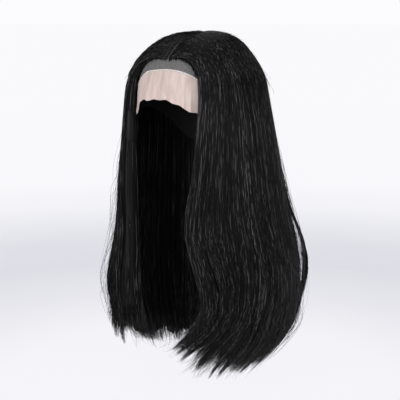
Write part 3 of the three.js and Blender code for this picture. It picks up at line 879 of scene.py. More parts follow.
def slit(side, share, z):
    """Backwards push on the front of the left curtain, with a gap behind its front lock."""
    swing = np.exp(-(((z - SLIT_LEVEL) / SLIT_HALF_HEIGHT) ** 2))
    apart = smoothstep(SLIT_SHARE - SLIT_THREADS, SLIT_SHARE + SLIT_THREADS, share)
    behind = np.exp(-np.maximum(0, share - SLIT_SHARE) / SLIT_FADE)
    return np.where(side > 0, (FRONT_LOCK_SWING + SLIT_WIDTH * apart) * behind * swing, 0)


def straighten(side, share, z):
    """Change of share that lets the hair behind the front lock of the left curtain fall straight."""
    edge = level("edge_left", z)
    behind = smoothstep(BEHIND_SLIT, STRAIGHT_FROM, share)
    shift = behind * (level("straight_left", z) - edge) * (1 - share) / (180 - edge)
    return np.where((side > 0) & (share < 1), shift, 0)


def sweep(side, share, z):
    """Turn of the front hair's ends towards the face."""
    low = smoothstep(*SWEEP_LEVELS, z) ** 1.5
    return -low * np.where(side > 0, SWEEP_LEFT, SWEEP_RIGHT) * np.exp(-from_front(share) / SWEEP_REACH)


def crown_lift(side, share, along):
    """Fuller hair beside the parting on the left, flatter hair on the right, as a part of the thickness."""
    amount = np.where(side > 0, CROWN_LIFT_LEFT, CROWN_LIFT_RIGHT) * smoothstep(*CROWN_LIFT_FADE, share)
    return amount * np.sin(np.pi * np.clip((along - CROWN_LIFT_FROM) / CROWN_LIFT_RUN, 0, 1)) ** 2


def at_whorl(share):
    """From 0 along the parting to 1 behind its end, where the hair turns round."""
    return smoothstep(WHORL_FROM_SHARE, PARTING_BACK_SHARE, from_front(share))


def thickness(share, along):
    """Part of the hair's full thickness over the dome, thinner towards the roots."""
    at_root = mix(ROOT_THICKNESS, WHORL_THICKNESS, at_whorl(share))
    return mix(at_root, 1, np.minimum(1, along / FULL_FROM))


def hollow(side, share, z):
    """How much lower the surface is in the hollows."""
    total = 0
    for on_side, at, middle, half, half_height, depth in HOLLOWS:
        shape = np.exp(-(((share - at) / half) ** 2) - ((z - middle) / half_height) ** 2)
        total = total + np.where(side == on_side, depth, 0) * shape
    return total


def relief(across):
    """Outer depth of a lock across its width, a little lower where it meets the next."""
    return 1 - LOCK_RELIEF * np.abs(across) ** 3


def at_hem(z):
    return smoothstep(HEM_FROM, HEM_TO, z)


def own_wave(rng, amount, lengths, z):
    """A wave for each strand, of its own height, length and phase."""
    one_each = (len(z), 1)
    return rng.normal(0, amount, one_each) * np.sin(
        2 * np.pi * z / rng.uniform(*lengths, one_each) + rng.uniform(0, 2 * np.pi, one_each))


def strand_points(hair, share, root, tip, depth, hem_pull=1.0, stray=1.0, dome_steps=DOME_STEPS,
                  drop=DROP_STEPS, loose=None, unruly=0.0):
    """Rows of points of strands that run from the parting over the dome and hang down to their tips."""
    side, rng, one_each, dome_points = hair.side, hair.rng, (len(share), 1), len(dome_steps)
    middle, pull, hook, curl, _ = hair.clump_of(share)
    share, root, tip, depth = (v[:, None] for v in (share, root, tip, depth))

    def stand_off(run):
        return loose[2] * np.exp(-(((run - loose[0]) / loose[1]) ** 2)) if loose else 0

    along = mix(root, 1.0, np.array(dome_steps) ** rng.uniform(*DOME_STEP_POWERS, one_each))
    at_parting = mix(PARTING_DEPTH, WHORL_DEPTH, at_whorl(share))
    foot = np.where(root < AT_PARTING, at_parting, ROOT_DEPTH * thickness(share, root))
    full = depth * thickness(share, along) + crown_lift(side, share, along)
    wander = rng.normal(0, DOME_WANDER * stray, one_each)
    dome = dome_hair(side, np.clip(share + wander * np.sin(np.pi * along), 0, 2), along,
                     mix(foot, full, smoothstep(0, RISE_FROM_ROOT, along - root)) + stand_off(along))
    dome[..., 0] += WHORL_SPREAD * wander * at_whorl(share) * smoothstep(0.2, 0, along)

    down = np.array(drop) ** rng.uniform(*DROP_STEP_POWERS, one_each)
    z = mix(-CROWN_TO_BROW, tip, down)
    late = at_hem(z)
    fall = np.clip((-CROWN_TO_BROW - z) / OWN_WAVES_GROW_OVER, 0, 1)
    aside = fall * own_wave(rng, OWN_WAVE * stray, OWN_WAVE_LENGTHS, z)
    weave = fall * own_wave(rng, WEAVE * stray, WEAVE_LENGTHS, z)
    place = (mix(share, middle, pull * late * hem_pull) + waves(side, share, z) + aside
             + (hook + rng.normal(0, STRAND_HOOK, one_each)) * late**2)
    if unruly:
        edge = "edge_left" if side > 0 else "edge_right"
        other = z + rng.normal(0, unruly, one_each)
        place = place + (level(edge, other) - level(edge, z)) / (180 - level(edge, z))
    sunk = depth + weave + (curl + rng.normal(0, STRAND_CURL, one_each)) * late**2 - TIP_SINK * late
    sunk = np.clip(sunk, 0.0, MOST_DEPTH + TIPS_OUT * late)
    if not loose:
        sunk = sunk - depth * hollow(side, share, z)
    hanging = hanging_hair(side, place, z, sunk + stand_off(1 + down))

    points = np.concatenate((dome, hanging), axis=1)
    joint = slice(dome_points - 1, dome_points + 2)
    for _ in range(2):
        smooth = points[:, 1:-1] / 2 + (points[:, :-2] + points[:, 2:]) / 4
        points[:, joint] = smooth[:, dome_points - 2:dome_points + 1]
    return points


def strand_radius(hair, points, low_high=STRAND_RADIUS, root_share=0.7, tip_share=0.12):
    """Radius along each strand: slightly finer at the root, fine at the tip."""
    n, k, _ = points.shape
    t = np.linspace(0, 1, k)
    taper = np.clip((t - TAPER_FROM) / (1 - TAPER_FROM), 0, 1) ** 1.4
    profile = mix(root_share, 1, np.minimum(1, t / ROOT_END)) * mix(1, tip_share, taper)
    return hair.rng.uniform(*low_high, (n, 1)) * profile


def wisp_tints(hair, share, painted_highlight_share=PAINTED_HIGHLIGHT_STRANDS):
    """Lightness of each strand, from 0 to 1; the much lighter ones are painted highlights."""
    rng, n = hair.rng, len(share)
    wisp = np.floor(share.ravel() / WISP_SHARE).astype(int)
    wisp = wisp - wisp.min()
    shared = rng.random(wisp.max() + 1)[wisp]
    # Strands picked as painted highlights take a high lightness.
    is_painted_highlight, lightest = rng.random(n) < painted_highlight_share, rng.uniform(*PAINTED_HIGHLIGHT_TINTS, n)
    return np.where(is_painted_highlight, lightest, WISP_TINT * shared**2 + OWN_TINT * rng.random(n) ** 2)


def add_strands(hair, points, radius, tint, dome_points=0):
    """Strands as thin tubes; over the dome all but the lightest are darker from their roots, as painted
    shade.
    """
    steps = np.arange(points.shape[1])
    off_root = np.minimum(1, steps / dome_points) if dome_points else np.ones(len(steps))
    # Painted shade, strongest at the roots.
    shade = tint[:, None] ** mix(DOME_PAINTED_SHADE, 1, off_root)
    hair.mesh.add(*tubes(points, radius), np.repeat(shade.ravel(), STRAND_SIDES))


def add_wisps(hair, points, share, painted_highlight_share=PAINTED_HIGHLIGHT_STRANDS, dome_points=0, tip_share=0.12):
    radius = strand_radius(hair, points, tip_share=tip_share)
    add_strands(hair, points, radius, wisp_tints(hair, share, painted_highlight_share), dome_points)


def add_fine_hairs(hair, points, tip_share=0.5):
    radius = strand_radius(hair, points, FINE_RADIUS, 1.0, tip_share)
    add_strands(hair, points, radius, MOST_FINE_TINT * hair.rng.random(len(points)))


def tip_levels(hair, share, layered=0.4):
    """Where strands end: most near their lock's tip, some cut shorter in layers."""
    rng, n = hair.rng, len(share)
    lock_tip, _ = hair.lock_at(share)
    is_layered = rng.random(n) < layered
    shorter = np.where(is_layered, rng.exponential(LAYER_STEP, n), rng.exponential(TIP_STEP, n))
    lift = hair.clump_of(share)[-1, :, 0]
    return lock_tip + lift + np.minimum(shorter, MOST_SHORTER)


def part_roots(hair, share):
    """Where each strand starts: many at the parting, or across its end, and the rest over the dome."""
    rng, n = hair.rng, len(share)
    spot = rng.random(n)
    near = mix(mix(*ROOTS_AT_PARTING, spot), mix(*ROOTS_AT_WHORL, spot), at_whorl(share))
    elsewhere = rng.uniform(*ROOTS_ELSEWHERE, n)
    at_parting = from_front(share) < WHORL_ROOTS_FROM_SHARE
    is_near = rng.random(n) < np.where(at_parting, STRANDS_AT_PARTING, STRANDS_AT_WHORL)
    return np.where(is_near, near, elsewhere)


def hair_mass(hair, span):
    """The dense hair under the outer strands, one closed wall with a ragged foot."""
    side, dome_count, drop_count = hair.side, 11, 22
    share = np.linspace(*span, int(MASS_COLUMNS_PER_SHARE * (hair.span[1] - hair.span[0])) + 2)
    lock_tip, across = hair.lock_at(share)
    foot = lock_tip + MASS_SHORT_OF_TIPS.get(hair.name, USUAL_MASS_SHORT) + sines(share, MASS_RAGS)
    ripple = sines(share, MASS_RIPPLES)
    start = MASS_ROOT * (1 - MASS_CLOSED * at_whorl(share))
    along = mix(start, 1, np.linspace(0, 1, dome_count)[:-1, None] ** 1.3)
    rise = smoothstep(MASS_ROOT, MASS_FULL_FROM, along)
    thin = thickness(share, along)
    z = mix(-CROWN_TO_BROW, foot, np.linspace(0, 1, drop_count)[:, None])
    place = share + waves(side, share, z)
    outer_root = mix(*MASS_ROOT_DEPTHS, at_whorl(share))
    faces = []
    for (brow, hem), root, is_outer in ((MASS_OUTER, outer_root, 1), (MASS_INNER, MASS_INNER_ROOT_DEPTH, 0)):
        part = mix(MASS_DOME_PART, 1, smoothstep(MASS_DOME_PART_TO, 1, along))
        over = part * brow * thin * relief(across) + ripple * thin
        over = over + is_outer * crown_lift(side, share, along)
        upper = dome_hair(side, share + 0 * along, along, mix(root, over, rise))
        lower = hanging_hair(side, place, z, mix(brow, hem, at_hem(z)) * relief(across) + ripple
                             - is_outer * hollow(side, share, z))
        faces.append(np.concatenate((upper, lower)))
    vertices, quads = slab(*faces)
    flow = stack(share, np.linspace(0, 1, len(faces[0]))[:, None], 0)
    hair.mesh.add(vertices, quads, NO_TRIANGLES, 0.0, np.tile(flow.reshape(-1, 3), (2, 1)), 1)


def outer_strands(hair, share, stray=1.0, lift=0.0, painted_highlight_share=PAINTED_HIGHLIGHT_STRANDS):
    """Strands of the visible surface, from the parting to the hem."""
    _, across = hair.lock_at(share)
    depth = relief(across) * (1.0 - OUTER_DEPTH_SPREAD * hair.rng.random(len(share)) ** 1.5) + lift
    points = strand_points(hair, share, part_roots(hair, share), tip_levels(hair, share), depth, stray=stray)
    add_wisps(hair, points, share, painted_highlight_share, len(DOME_STEPS))


def inner_strands(hair, share):
    """Strands of the inner face, from under the cap's edge to the hem."""
    n = len(share)
    points = strand_points(hair, share, np.full(n, CAP_EDGE_ROOT), tip_levels(hair, share),
                           hair.rng.uniform(*INNER_DEPTHS, n), dome_steps=(0, 0.5), drop=INNER_DROP_STEPS)
    tint = mix(LEAST_INNER_TINT, 1, wisp_tints(hair, share))
    add_strands(hair, points, strand_radius(hair, points), tint)


def hem_strands(hair, share, count=7):
    """Short lower lengths that fill the hem through its whole thickness."""
    side, rng, one_each = hair.side, hair.rng, (len(share), 1)
    middle, pull, hook, curl, _ = hair.clump_of(share)
    tip = tip_levels(hair, share, HEM_LAYERED)[:, None]
    share = share[:, None]
    z = mix(tip + rng.uniform(*HEM_LENGTHS, one_each), tip, np.linspace(0, 1, count))
    late = at_hem(z)
    place = (mix(share, middle, pull * late) + waves(side, share, z)
             + (hook + rng.normal(0, HEM_HOOK, one_each)) * late**2)
    depth = rng.uniform(*HEM_DEPTHS, one_each)
    sunk = depth + (curl + rng.normal(0, HEM_CURL, one_each)) * late**2 - HEM_SINK * late
    points = hanging_hair(side, place, z, np.clip(sunk, 0, HEM_MOST_DEPTH + TIPS_OUT * late))
    # More painted highlights in the hem of the split section.
    painted_highlight_share = PAINTED_HIGHLIGHT_HEM if hair.name == SPLIT_SECTION else PAINTED_HIGHLIGHT_STRANDS
    add_wisps(hair, points, share, painted_highlight_share, tip_share=0.2)


def hem_tufts(hair, count=9):
    """Bundles of short lower lengths that draw together to a point."""
    side, rng = hair.side, hair.rng
    t = np.linspace(0, 1, count)
    for middle, half, tip_mm, aside, out, n in hair.rows_of(TUFTS):
        one_each = (n, 1)
        share = middle + half * rng.uniform(-1, 1, one_each)
        tip = tip_mm * MM + rng.exponential(TUFT_TIP_STEP, one_each)
        z = mix(tip_mm * MM + rng.uniform(*TUFT_LENGTHS, one_each), tip, t)
        drawn = mix(share, middle, TUFT_PULL * t**1.2)
        place = drawn + waves(side, drawn, z) + (aside + rng.normal(0, TUFT_HOOK, one_each)) * t**2
        depth = mix(rng.uniform(*TUFT_DEPTHS, one_each), TUFT_TIP_DEPTH, TUFT_DEPTH_PULL * t)
        turned = depth + (out + rng.normal(0, TUFT_CURL, one_each)) * t**2
        add_wisps(hair, hanging_hair(side, place, z, turned), share)


def loose_locks(hair):
    """Thin locks that stand away from the rest part of the way down."""
    rng = hair.rng
    for middle, half, at, length, out, n in hair.rows_of(LOOSE_LOCKS):
        share = middle + half * rng.uniform(-1, 1, n) * rng.random(n)
        points = strand_points(hair, share, np.full(n, LOOSE_ROOT), tip_levels(hair, share),
                               rng.uniform(*LOOSE_DEPTHS, n), drop=FINE_DROP_STEPS,
                               loose=(at, length, out * rng.uniform(*LOOSE_SPREAD, (n, 1))))
        add_wisps(hair, points, share)


def front_lock(hair, reach, count, drop):
    """The front edge of a curtain, strands through its whole thickness as far back as a share of the turn."""
    rng = hair.rng
    share = rng.uniform(FRONT_EDGE_FROM, reach, count)
    points = strand_points(hair, share, part_roots(hair, share), tip_levels(hair, share),
                           rng.uniform(*FRONT_LOCK_DEPTHS, count), hem_pull=0.8, drop=drop, unruly=UNRULY)
    # Painted light along the lock's front and back edges.
    painted_edge_light = smoothstep(LIT_BACK_FROM * reach, reach, share) + smoothstep(LIT_FRONT_TO * reach, 0, share)
    tint = wisp_tints(hair, share, PAINTED_HIGHLIGHT_FRONT) + PAINTED_EDGE_LIGHT * painted_edge_light * rng.random(count) ** 2
    add_strands(hair, points, strand_radius(hair, points), np.minimum(tint, 1), len(DOME_STEPS))


def on_head(points, offset):
    """Points moved straight in or out to the head form, grown outwards by an offset."""
    reach = np.array((HEAD_HALF_WIDTH, HEAD_HALF_LENGTH, CROWN_TO_BROW)) + offset
    return dome_head(unit((points + np.array((0, 0, CROWN_TO_BROW))) / reach), offset)


def hairline_spikes(hair, count=150):
    """Short ragged wisps that point down off the hairline and lie on the lace."""
    side, rng, one_each = hair.side, hair.rng, (count, 1)
    along = rng.uniform(*SPIKES_ALONG, count)
    start = dome_hair(side, rng.uniform(*SPIKES_BEHIND, count), along, 0 * along)
    normal = unit(start + np.array((0, 0, CROWN_TO_BROW)))
    down = unit(np.array((0, 0, -1.0)) + normal * normal[:, 2:])
    aside = stack(-side * normal[:, 1], side * normal[:, 0], 0)
    way = unit(down + aside * rng.normal(0, SPIKE_SLANT, one_each))
    length = rng.exponential(SPIKE_MORE, one_each) + SPIKE_LENGTH
    run = SPIKE_STEPS * length
    points = on_head(start[:, None] + way[:, None] * run[..., None], LACE_WALL + SPIKE_LIFT)
    radius = rng.uniform(*SPIKE_RADIUS, one_each) * SPIKE_TAPER
    add_strands(hair, points, radius, MOST_SPIKE_TINT * rng.random(count))


def flyaways(hair, share, count=7):
    """Single fine hairs that stand away from the surface."""
    side, rng, one_each = hair.side, hair.rng, (len(share), 1)
    share, t = share[:, None], np.linspace(0, 1, count)
    lock_tip, _ = hair.lock_at(share)
    start = np.maximum(rng.uniform(*FLYAWAY_LEVELS, one_each), lock_tip + FLYAWAY_ABOVE_TIPS)
    length = rng.uniform(*FLYAWAY_LENGTHS, one_each)
    lowest = np.maximum(lock_tip + rng.uniform(*FLYAWAY_ENDS, one_each), LOWEST_STRAY)
    z = mix(start, np.maximum(start - length, lowest), t)
    out = rng.exponential(FLYAWAY_STAND_OFF, one_each)
    out = out * np.sin(np.pi * (t * rng.uniform(*FLYAWAY_ARCS, one_each)))
    place = share + waves(side, share, z) + rng.normal(0, FLYAWAY_SWAY, one_each) * t**2
    depth = SURFACE_DEPTH + np.minimum(out, FLYAWAY_MOST) - hollow(side, share, z)
    add_fine_hairs(hair, hanging_hair(side, place, z, depth))


def hem_strays(hair, share, count=7):
    """Single fine hairs that leave the hem in their own directions."""
    side, rng, one_each = hair.side, hair.rng, (len(share), 1)
    share, t = share[:, None], np.linspace(0, 1, count)
    lock_tip, _ = hair.lock_at(share)
    start = lock_tip + rng.uniform(*HEM_STRAY_STARTS, one_each)
    end = lock_tip - rng.uniform(*HEM_STRAY_ENDS, one_each)
    z = mix(start, np.maximum(end, LOWEST_STRAY), t)
    place = share + waves(side, share, z) + rng.normal(*HEM_STRAY_HOOK, one_each) * t**2
    depth = rng.uniform(*HEM_STRAY_DEPTHS, one_each) + rng.normal(0, HEM_STRAY_CURL, one_each) * t**2
    add_fine_hairs(hair, hanging_hair(side, place, z, np.clip(depth, 0.0, HEM_STRAY_MOST)), tip_share=0.4)


def dome_fuzz(hair, share, count=6):
    """Short fine hairs that rise a little off the dome."""
    side, rng, one_each = hair.side, hair.rng, (len(share), 1)
    share, t = share[:, None], np.linspace(0, 1, count)
    along = rng.uniform(*FUZZ_STARTS, one_each) + rng.uniform(*FUZZ_RUNS, one_each) * t
    rise = np.minimum(rng.exponential(FUZZ_RISE, one_each) * t**1.5, FUZZ_MOST)
    place = share + rng.normal(0, FUZZ_SWAY, one_each) * t
    surface = thickness(share, along) * SURFACE_DEPTH + crown_lift(side, share, along)
    add_fine_hairs(hair, dome_hair(side, np.clip(place, 0, 2), np.minimum(along, 1), surface + rise))


def hair_piece(name, section, span, materials, seed):
    """One piece of hair: its dense mass, and its strands from the surface to the single stray hairs."""
    hair = Hair(section, span, seed)
    is_split, is_front = hair.name == SPLIT_SECTION, "front" in hair.name

    def shares(per_share):
        return hair.rng.uniform(*span, int(per_share * (span[1] - span[0])))

    hair_mass(hair, (BEHIND_SLIT if is_split else max(span[0], MASS_FROM_EDGE), span[1]))
    loose_locks(hair)
    if is_split:
        front_lock(hair, SLIT_SHARE + SLIT_THREADS, FRONT_LOCK_STRANDS, FINE_DROP_STEPS)
    elif is_front:
        front_lock(hair, FRONT_EDGE_REACH, FRONT_EDGE_STRANDS, DROP_STEPS)
    if is_front:
        hairline_spikes(hair)
    outer, stray, inner, hem, fly, hem_fly, fuzz = STRANDS_PER_SHARE[hair.name]
    outer_strands(hair, shares(outer))
    # Stray strands carry more painted highlights.
    outer_strands(hair, shares(stray), STRAY, STRAY_LIFT, PAINTED_HIGHLIGHT_STRAYS)
    inner_strands(hair, shares(inner))
    hem_strands(hair, shares(hem))
    hem_tufts(hair)
    flyaways(hair, shares(fly))
    hem_strays(hair, shares(hem_fly))
    dome_fuzz(hair, shares(fuzz))
    return finish_piece(hair.mesh.build(name, materials), hair.name)


# Cap and laces.

def closure_inside(x, y, margin):
    """True inside the closure's outline seen from above, grown by a margin."""
    half, back, radius = CLOSURE_HALF_WIDTH + margin, CLOSURE_BACK_Y + margin, CLOSURE_CORNER + margin
    px, py = np.abs(x) - (half - radius), y - (back - radius)
    corner = (px > 0) & (py > 0)
    return (np.abs(x) < half) & (y < back) & (~corner | (px**2 + py**2 < radius**2))


def closure_level(angle, margin, offset, halvings=40):
    """Level at which the closure's outline crosses the dome, at each compass angle."""
    high, low = np.zeros_like(angle) + offset, np.full_like(angle, -CROWN_TO_BROW)
    for _ in range(halvings):
        z = (high + low) / 2
        at = head_point(angle, z, offset)
        inside = closure_inside(at[..., 0], at[..., 1], margin)
        high, low = np.where(inside, z, high), np.where(inside, low, z)
    return (high + low) / 2


def wrapped_deg(angle):
    return np.degrees(np.arctan2(np.sin(angle), np.cos(angle)))


def seam_top(deg):
    """Level above the seam where the closure stops."""
    return lace_edge("seam", deg) + SEAM_WIDTH / 2 + PIECE_GAP


def dome_rows(top, bottom, offset, rows):
    """Levels down the dome between two others, evenly spaced along its slope."""
    rise = CROWN_TO_BROW + offset
    high, low = (np.arccos(np.clip((z + CROWN_TO_BROW) / rise, -1, 1)) for z in (top, bottom))
    return np.cos(mix(high, low, np.linspace(0, 1, rows)[:, None])) * rise - CROWN_TO_BROW


def net_flow(points):
    """Flat place on the net for each point, in metres: round the head and down it."""
    x, y, z = points[..., 0], points[..., 1], points[..., 2]
    return stack(np.arctan2(x, -y) * MEAN_RADIUS, z + NET_SPREAD * np.hypot(x, y), 0)


def cap_piece(material):
    """Stretch cap: rows of sewn wefts, a firmer band along the lower edge."""
    columns, rows, tried, least_height = 106, 50, 120, 0.5 * MM
    spread = np.radians(np.linspace(LACE_REACH_DEG + LACE_SIDE_GAP_DEG, CAP_FRONT_MOST_DEG, tried))
    clear = closure_level(spread, PIECE_GAP, 0.0) > cap_edge(np.degrees(spread)) + least_height
    first = spread[np.argmax(clear)]
    angle = np.linspace(first, 2 * np.pi - first, columns)
    top, bottom = closure_level(angle, PIECE_GAP, 0.0), cap_edge(wrapped_deg(angle))
    faces = []
    for offset, weft in ((CAP_WALL, WEFT_RISE), (0.0, -WEFT_DENT)):
        z = dome_rows(top, bottom, offset, rows)
        wefts = (np.clip(np.sin(2 * np.pi * z / WEFT_PITCH), WEFT_EDGE, 1) - WEFT_EDGE) / (1 - WEFT_EDGE)
        band = smoothstep(CAP_BAND + CAP_BAND_FADE, CAP_BAND, z - bottom)
        swell = weft * (wefts * (1 - band) + CAP_BAND_SWELL * band)
        faces.append(head_point(angle + 0 * z, z, offset + np.maximum(swell, -offset)))
    vertices, quads = slab(*faces)
    arrays = MeshArrays()
    arrays.add(vertices, quads, NO_TRIANGLES, 0.0, net_flow(vertices))
    return finish_piece(arrays.build("cap_net_cap", [material], sharp_deg=40), "cap")


def plan_deg(points):
    """Compass angle of each point, in the head form's own measure."""
    return np.degrees(np.arctan2(points[:, 0] / HEAD_HALF_WIDTH, -points[:, 1] / HEAD_HALF_LENGTH))


def under_hair(points):
    """From 0 on the bare band of the closure to 1 behind the hairline."""
    along = np.linspace(0, 1, 60)
    line = np.concatenate([dome_hair(side, 0 * along, along, 0 * along) for side in (1, -1)])
    order = np.argsort(plan_deg(line))
    hairline = np.interp(plan_deg(points), plan_deg(line)[order], line[order, 2])
    return smoothstep(*HAIRLINE_BAND, points[:, 2] - hairline)


def closure_piece(material):
    """Hair-bearing lace: the dome inside the closure's outline, down to the seam."""
    columns, rows, top_drop = 116, 34, 0.005 * MM
    angle = np.arange(columns) / columns * 2 * np.pi
    deg = wrapped_deg(angle)
    by_lace = np.abs(deg) < LACE_REACH_DEG + LACE_SIDE_GAP_DEG
    lowest = np.where(by_lace, seam_top(deg), cap_edge(deg))
    faces = []
    for offset in (LACE_WALL, 0.0):
        bottom = np.maximum(closure_level(angle, 0.0, offset), lowest)
        z = dome_rows(offset - top_drop, bottom, offset, rows)
        faces.append(head_point(angle + 0 * z, z, offset))
    vertices, quads = slab(*faces, wrap=True)
    layer = rows * columns
    quads = quads[~np.all((quads % layer) < columns, axis=1)]
    vertices = np.concatenate((vertices, ((0, 0, LACE_WALL), (0, 0, 0))))
    j = np.arange(columns)
    following = (j + 1) % columns
    fans = np.concatenate((
        np.stack((0 * j + 2 * layer, j, following), axis=-1),
        np.stack((0 * j + 2 * layer + 1, following + layer, j + layer), axis=-1)))
    arrays = MeshArrays()
    arrays.add(vertices, quads, fans, under_hair(vertices), net_flow(vertices))
    return finish_piece(arrays.build("closure_net", [material], sharp_deg=50), "closure_lace")


def in_tab(deg):
    share = np.clip((deg - TAB_FROM_DEG) / (TAB_TO_DEG - TAB_FROM_DEG), 0, 1)
    return np.sqrt(np.maximum(0, np.sin(share * np.pi)))


def lace_lift(deg, down):
    """Height of the lace above the brow: standing folds, and the free corner that bends outwards."""
    lift = 0
    for at, half, rise in zip(*LACE_FOLDS.values()):
        share = np.minimum(1, np.abs(deg - at) / half)
        lift = lift + rise * np.cos(share * np.pi / 2) ** 2 * down
    bend = np.maximum(0, (down - TAB_BEND_FROM) / (1 - TAB_BEND_FROM)) ** 2
    return lift + TAB_FLARE * in_tab(deg) * bend


def front_lace_piece(material):
    """Bare lace over the forehead, with its folds, its raw hem and its free corner."""
    columns, rows = 184, 24
    deg = np.linspace(-LACE_REACH_DEG, LACE_REACH_DEG, columns)
    angle = np.radians(deg)
    top = lace_edge("seam", deg) - PIECE_GAP - SEAM_WIDTH / 2
    bottom = (lace_edge("hem", deg) + HEM_WAVE * np.sin(angle * HEM_WAVES_PER_TURN) + sines(deg, HEM_FRAY)
              - TAB_DROP * in_tab(deg))
    down = np.linspace(0, 1, rows)[:, None]
    z = mix(top, bottom, down)
    pucker = LACE_PUCKER * np.sin(deg * PUCKER_RATE + PUCKER_LEAN * down) * down * (1 - PUCKER_FADE * down)
    lift = np.maximum(lace_lift(deg, down) + pucker, 0)
    outer, inner = (head_point(angle + 0 * z, z, lift + offset) for offset in (LACE_WALL, 0.0))
    vertices, quads = slab(outer, inner)
    flat = np.tile(stack(angle * FOREHEAD_RADIUS, z, 0).reshape(-1, 3), (2, 1))
    arrays = MeshArrays()
    arrays.add(vertices, quads, NO_TRIANGLES, 0.0, flat)
    piece = finish_piece(arrays.build("front_lace_net", [material], sharp_deg=50), "front_lace")
    width = np.linalg.norm(np.diff(outer, axis=1), axis=-1).sum(axis=1).max()
    length = np.linalg.norm(np.diff(outer, axis=0), axis=-1).sum(axis=0).max()
    return piece


def seam_piece(material):
    """Stitched tape between the closure and the bare lace, with slanted stitches over it."""
    columns, rows, stitch_points = 220, 7, 7
    deg = np.linspace(-LACE_REACH_DEG, LACE_REACH_DEG, columns)
    over = np.linspace(-1, 1, rows)[:, None]
    z = lace_edge("seam", deg) - over * SEAM_WIDTH / 2
    foot = SEAM_LIFT + LACE_WALL / 2
    heights = foot + TAPE_PART * SEAM_RISE * (1 - over**4), SEAM_LIFT
    vertices, quads = slab(*(head_point(np.radians(deg) + 0 * z, z, height + 0 * z) for height in heights))
    arrays = MeshArrays()
    arrays.add(vertices, quads, NO_TRIANGLES, 0.0, stack(vertices[:, 0], vertices[:, 2], 0))
    stitch_reach = LACE_REACH_DEG - STITCH_MARGIN_DEG
    stitch_deg = np.arange(-stitch_reach, stitch_reach, STITCH_PITCH_DEG)
    t = np.linspace(0, 1, stitch_points)
    slanted = stitch_deg[:, None] + (t - 0.5) * STITCH_SLANT_DEG
    z = lace_edge("seam", slanted) + (0.5 - t) * SEAM_WIDTH * STITCH_SPAN
    bow = STITCH_FOOT + STITCH_BOW * np.sin(np.pi * t) ** 0.6
    points = head_point(np.radians(slanted), z, foot + SEAM_RISE * bow)
    vertices, quads, ends = tubes(points, np.full(points.shape[:2], STITCH_RADIUS), STITCH_SIDES)
    arrays.add(vertices, quads, ends, 1.0, stack(vertices[:, 0], vertices[:, 2], 0))
    return finish_piece(arrays.build("seam_stitches", [material], sharp_deg=40), "lace_seam")


# Stage, light and camera.

FLOOR_LEVEL = -0.515
FLOOR_RADIUS = 40.0
CAMERA_AZIMUTH_DEG = 29
CAMERA_ELEVATION_DEG = 10
CAMERA_DISTANCE = 1.6
CAMERA_AIM = (3.9 * MM, 2.2 * MM, -0.24)
CAMERA_LENS_MM = 97.3

# Soft boxes: the name, the place, the point that they look at, the side of the square and the power in watts.
SOFTBOXES = (
    ("key_light", (-0.2, -2.0, 0.45), (0, 0, -0.15), 1.2, 32),
    ("side_light", (2.0, -0.8, 0.6), (0, 0, -0.1), 1.0, 17),
    ("back_light", (-0.7, 1.4, 1.3), (0, 0, -0.05), 0.7, 3),
)


def floor_material():
    """White paper floor that glows, with painted shade making it slightly grey at a distance, and white again
    far off.
    """
    graph = new_material("studio_floor")
    distance = graph.add("VectorMath", "Value", {0: graph.add("TexCoord", "Object")}, operation="LENGTH")
    # Painted shade: a grey ring from about half a metre to a metre and a half out.
    colour = graph.ramp(
        graph.map_range(distance, (0, 6.0), (0, 1)),
        (0.0, (0.93, 0.92, 0.97)), (0.05, (0.92, 0.915, 0.96)), (0.085, (0.82, 0.82, 0.87)),
        (0.13, (0.74, 0.745, 0.80)), (0.17, (0.76, 0.765, 0.82)), (0.25, (0.92, 0.92, 0.96)),
        (0.32, (0.97, 0.96, 0.99)), (0.8, (0.985, 0.975, 1.0)))
    return graph.surface({"Base Color": (0.05, 0.05, 0.05, 1), "Roughness": 0.9, "Specular IOR Level": 0.0,
                          "Emission Color": colour, "Emission Strength": 0.96})


def stage():
    columns = 64
    j = np.arange(columns)
    turn = j / columns * 2 * np.pi
    rim = stack(FLOOR_RADIUS * np.cos(turn), FLOOR_RADIUS * np.sin(turn), 0)
    arrays = MeshArrays()
    fans = np.stack((0 * j, j + 1, (j + 1) % columns + 1), axis=-1)
    arrays.add(np.concatenate((((0, 0, 0),), rim)), NO_QUADS, fans)
    floor = arrays.build("studio_floor", [floor_material()])
    floor.location.z = FLOOR_LEVEL


def place_looking(name, data, place, aim):
    """An object for a lamp or a lens, at a place and turned to a point."""
    thing = bpy.data.objects.new(name, data)
    bpy.context.scene.collection.objects.link(thing)
    thing.location = place
    thing.rotation_euler = (Vector(aim) - Vector(place)).to_track_quat("-Z", "Y").to_euler()
    return thing


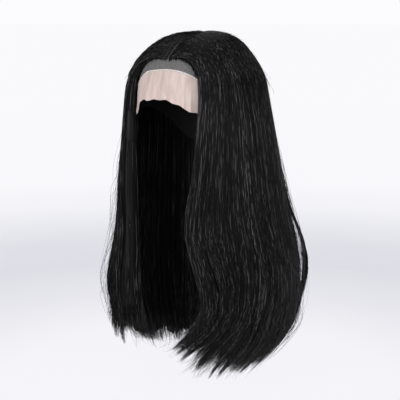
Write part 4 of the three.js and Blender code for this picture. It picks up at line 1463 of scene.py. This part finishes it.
def lighting():
    """White surroundings, brighter to the camera than as a light and dim overhead, and three soft boxes."""
    world = bpy.data.worlds.new("studio")
    bpy.context.scene.world = world
    graph = NodeGraph(world)
    axes = {"Vector": graph.add("TexCoord", "Generated")}
    overhead = graph.map_range(graph.add("SeparateXYZ", "Z", axes), (0, 1), (0.29, 0.08))
    lit = graph.add("Background", "Background", {"Color": (0.96, 0.97, 1.0, 1), "Strength": overhead})
    seen = graph.add("Background", "Background", {"Color": (0.975, 0.97, 0.99, 1)})
    is_seen = graph.add("LightPath", "Is Camera Ray")
    choice = graph.add("MixShader", "Shader", {"Fac": is_seen, 1: lit, 2: seen})
    graph.fill(graph.tree.nodes["World Output"], {"Surface": choice})
    for name, place, aim, side, power in SOFTBOXES:
        lamp = bpy.data.lights.new(name, "AREA")
        lamp.shape, lamp.size, lamp.energy = "SQUARE", side, power
        place_looking(name, lamp, place, aim)
    bpy.context.scene.view_settings.view_transform = "Standard"


def camera():
    lens = bpy.data.cameras.new("camera")
    lens.lens = CAMERA_LENS_MM
    lens.sensor_width = 36
    lens.clip_end = 100
    azimuth, elevation = math.radians(CAMERA_AZIMUTH_DEG), math.radians(CAMERA_ELEVATION_DEG)
    way = (math.sin(azimuth) * math.cos(elevation), -math.cos(azimuth) * math.cos(elevation),
           math.sin(elevation))
    place = [at + CAMERA_DISTANCE * part for at, part in zip(CAMERA_AIM, way)]
    bpy.context.scene.camera = place_looking("camera", lens, place, CAMERA_AIM)


def wig():
    materials = [strand_material(), mass_material()]
    for number, section in enumerate(SECTIONS):
        name, _, start, end, _ = section
        plain = name.replace("hair", "strands")
        if name == "hair_back":
            hair_piece(plain + "_left", section, (start, 1.0), materials, SEED + number)
            hair_piece(plain + "_right", section, (1.0, end), materials, SEED + 10 + number)
        else:
            hair_piece(plain, section, (start, end), materials, SEED + number)
    cap_piece(cap_material())
    closure_piece(closure_material())
    front_lace_piece(lace_material())
    seam_piece(seam_material())


wig()
stage()
lighting()
camera()
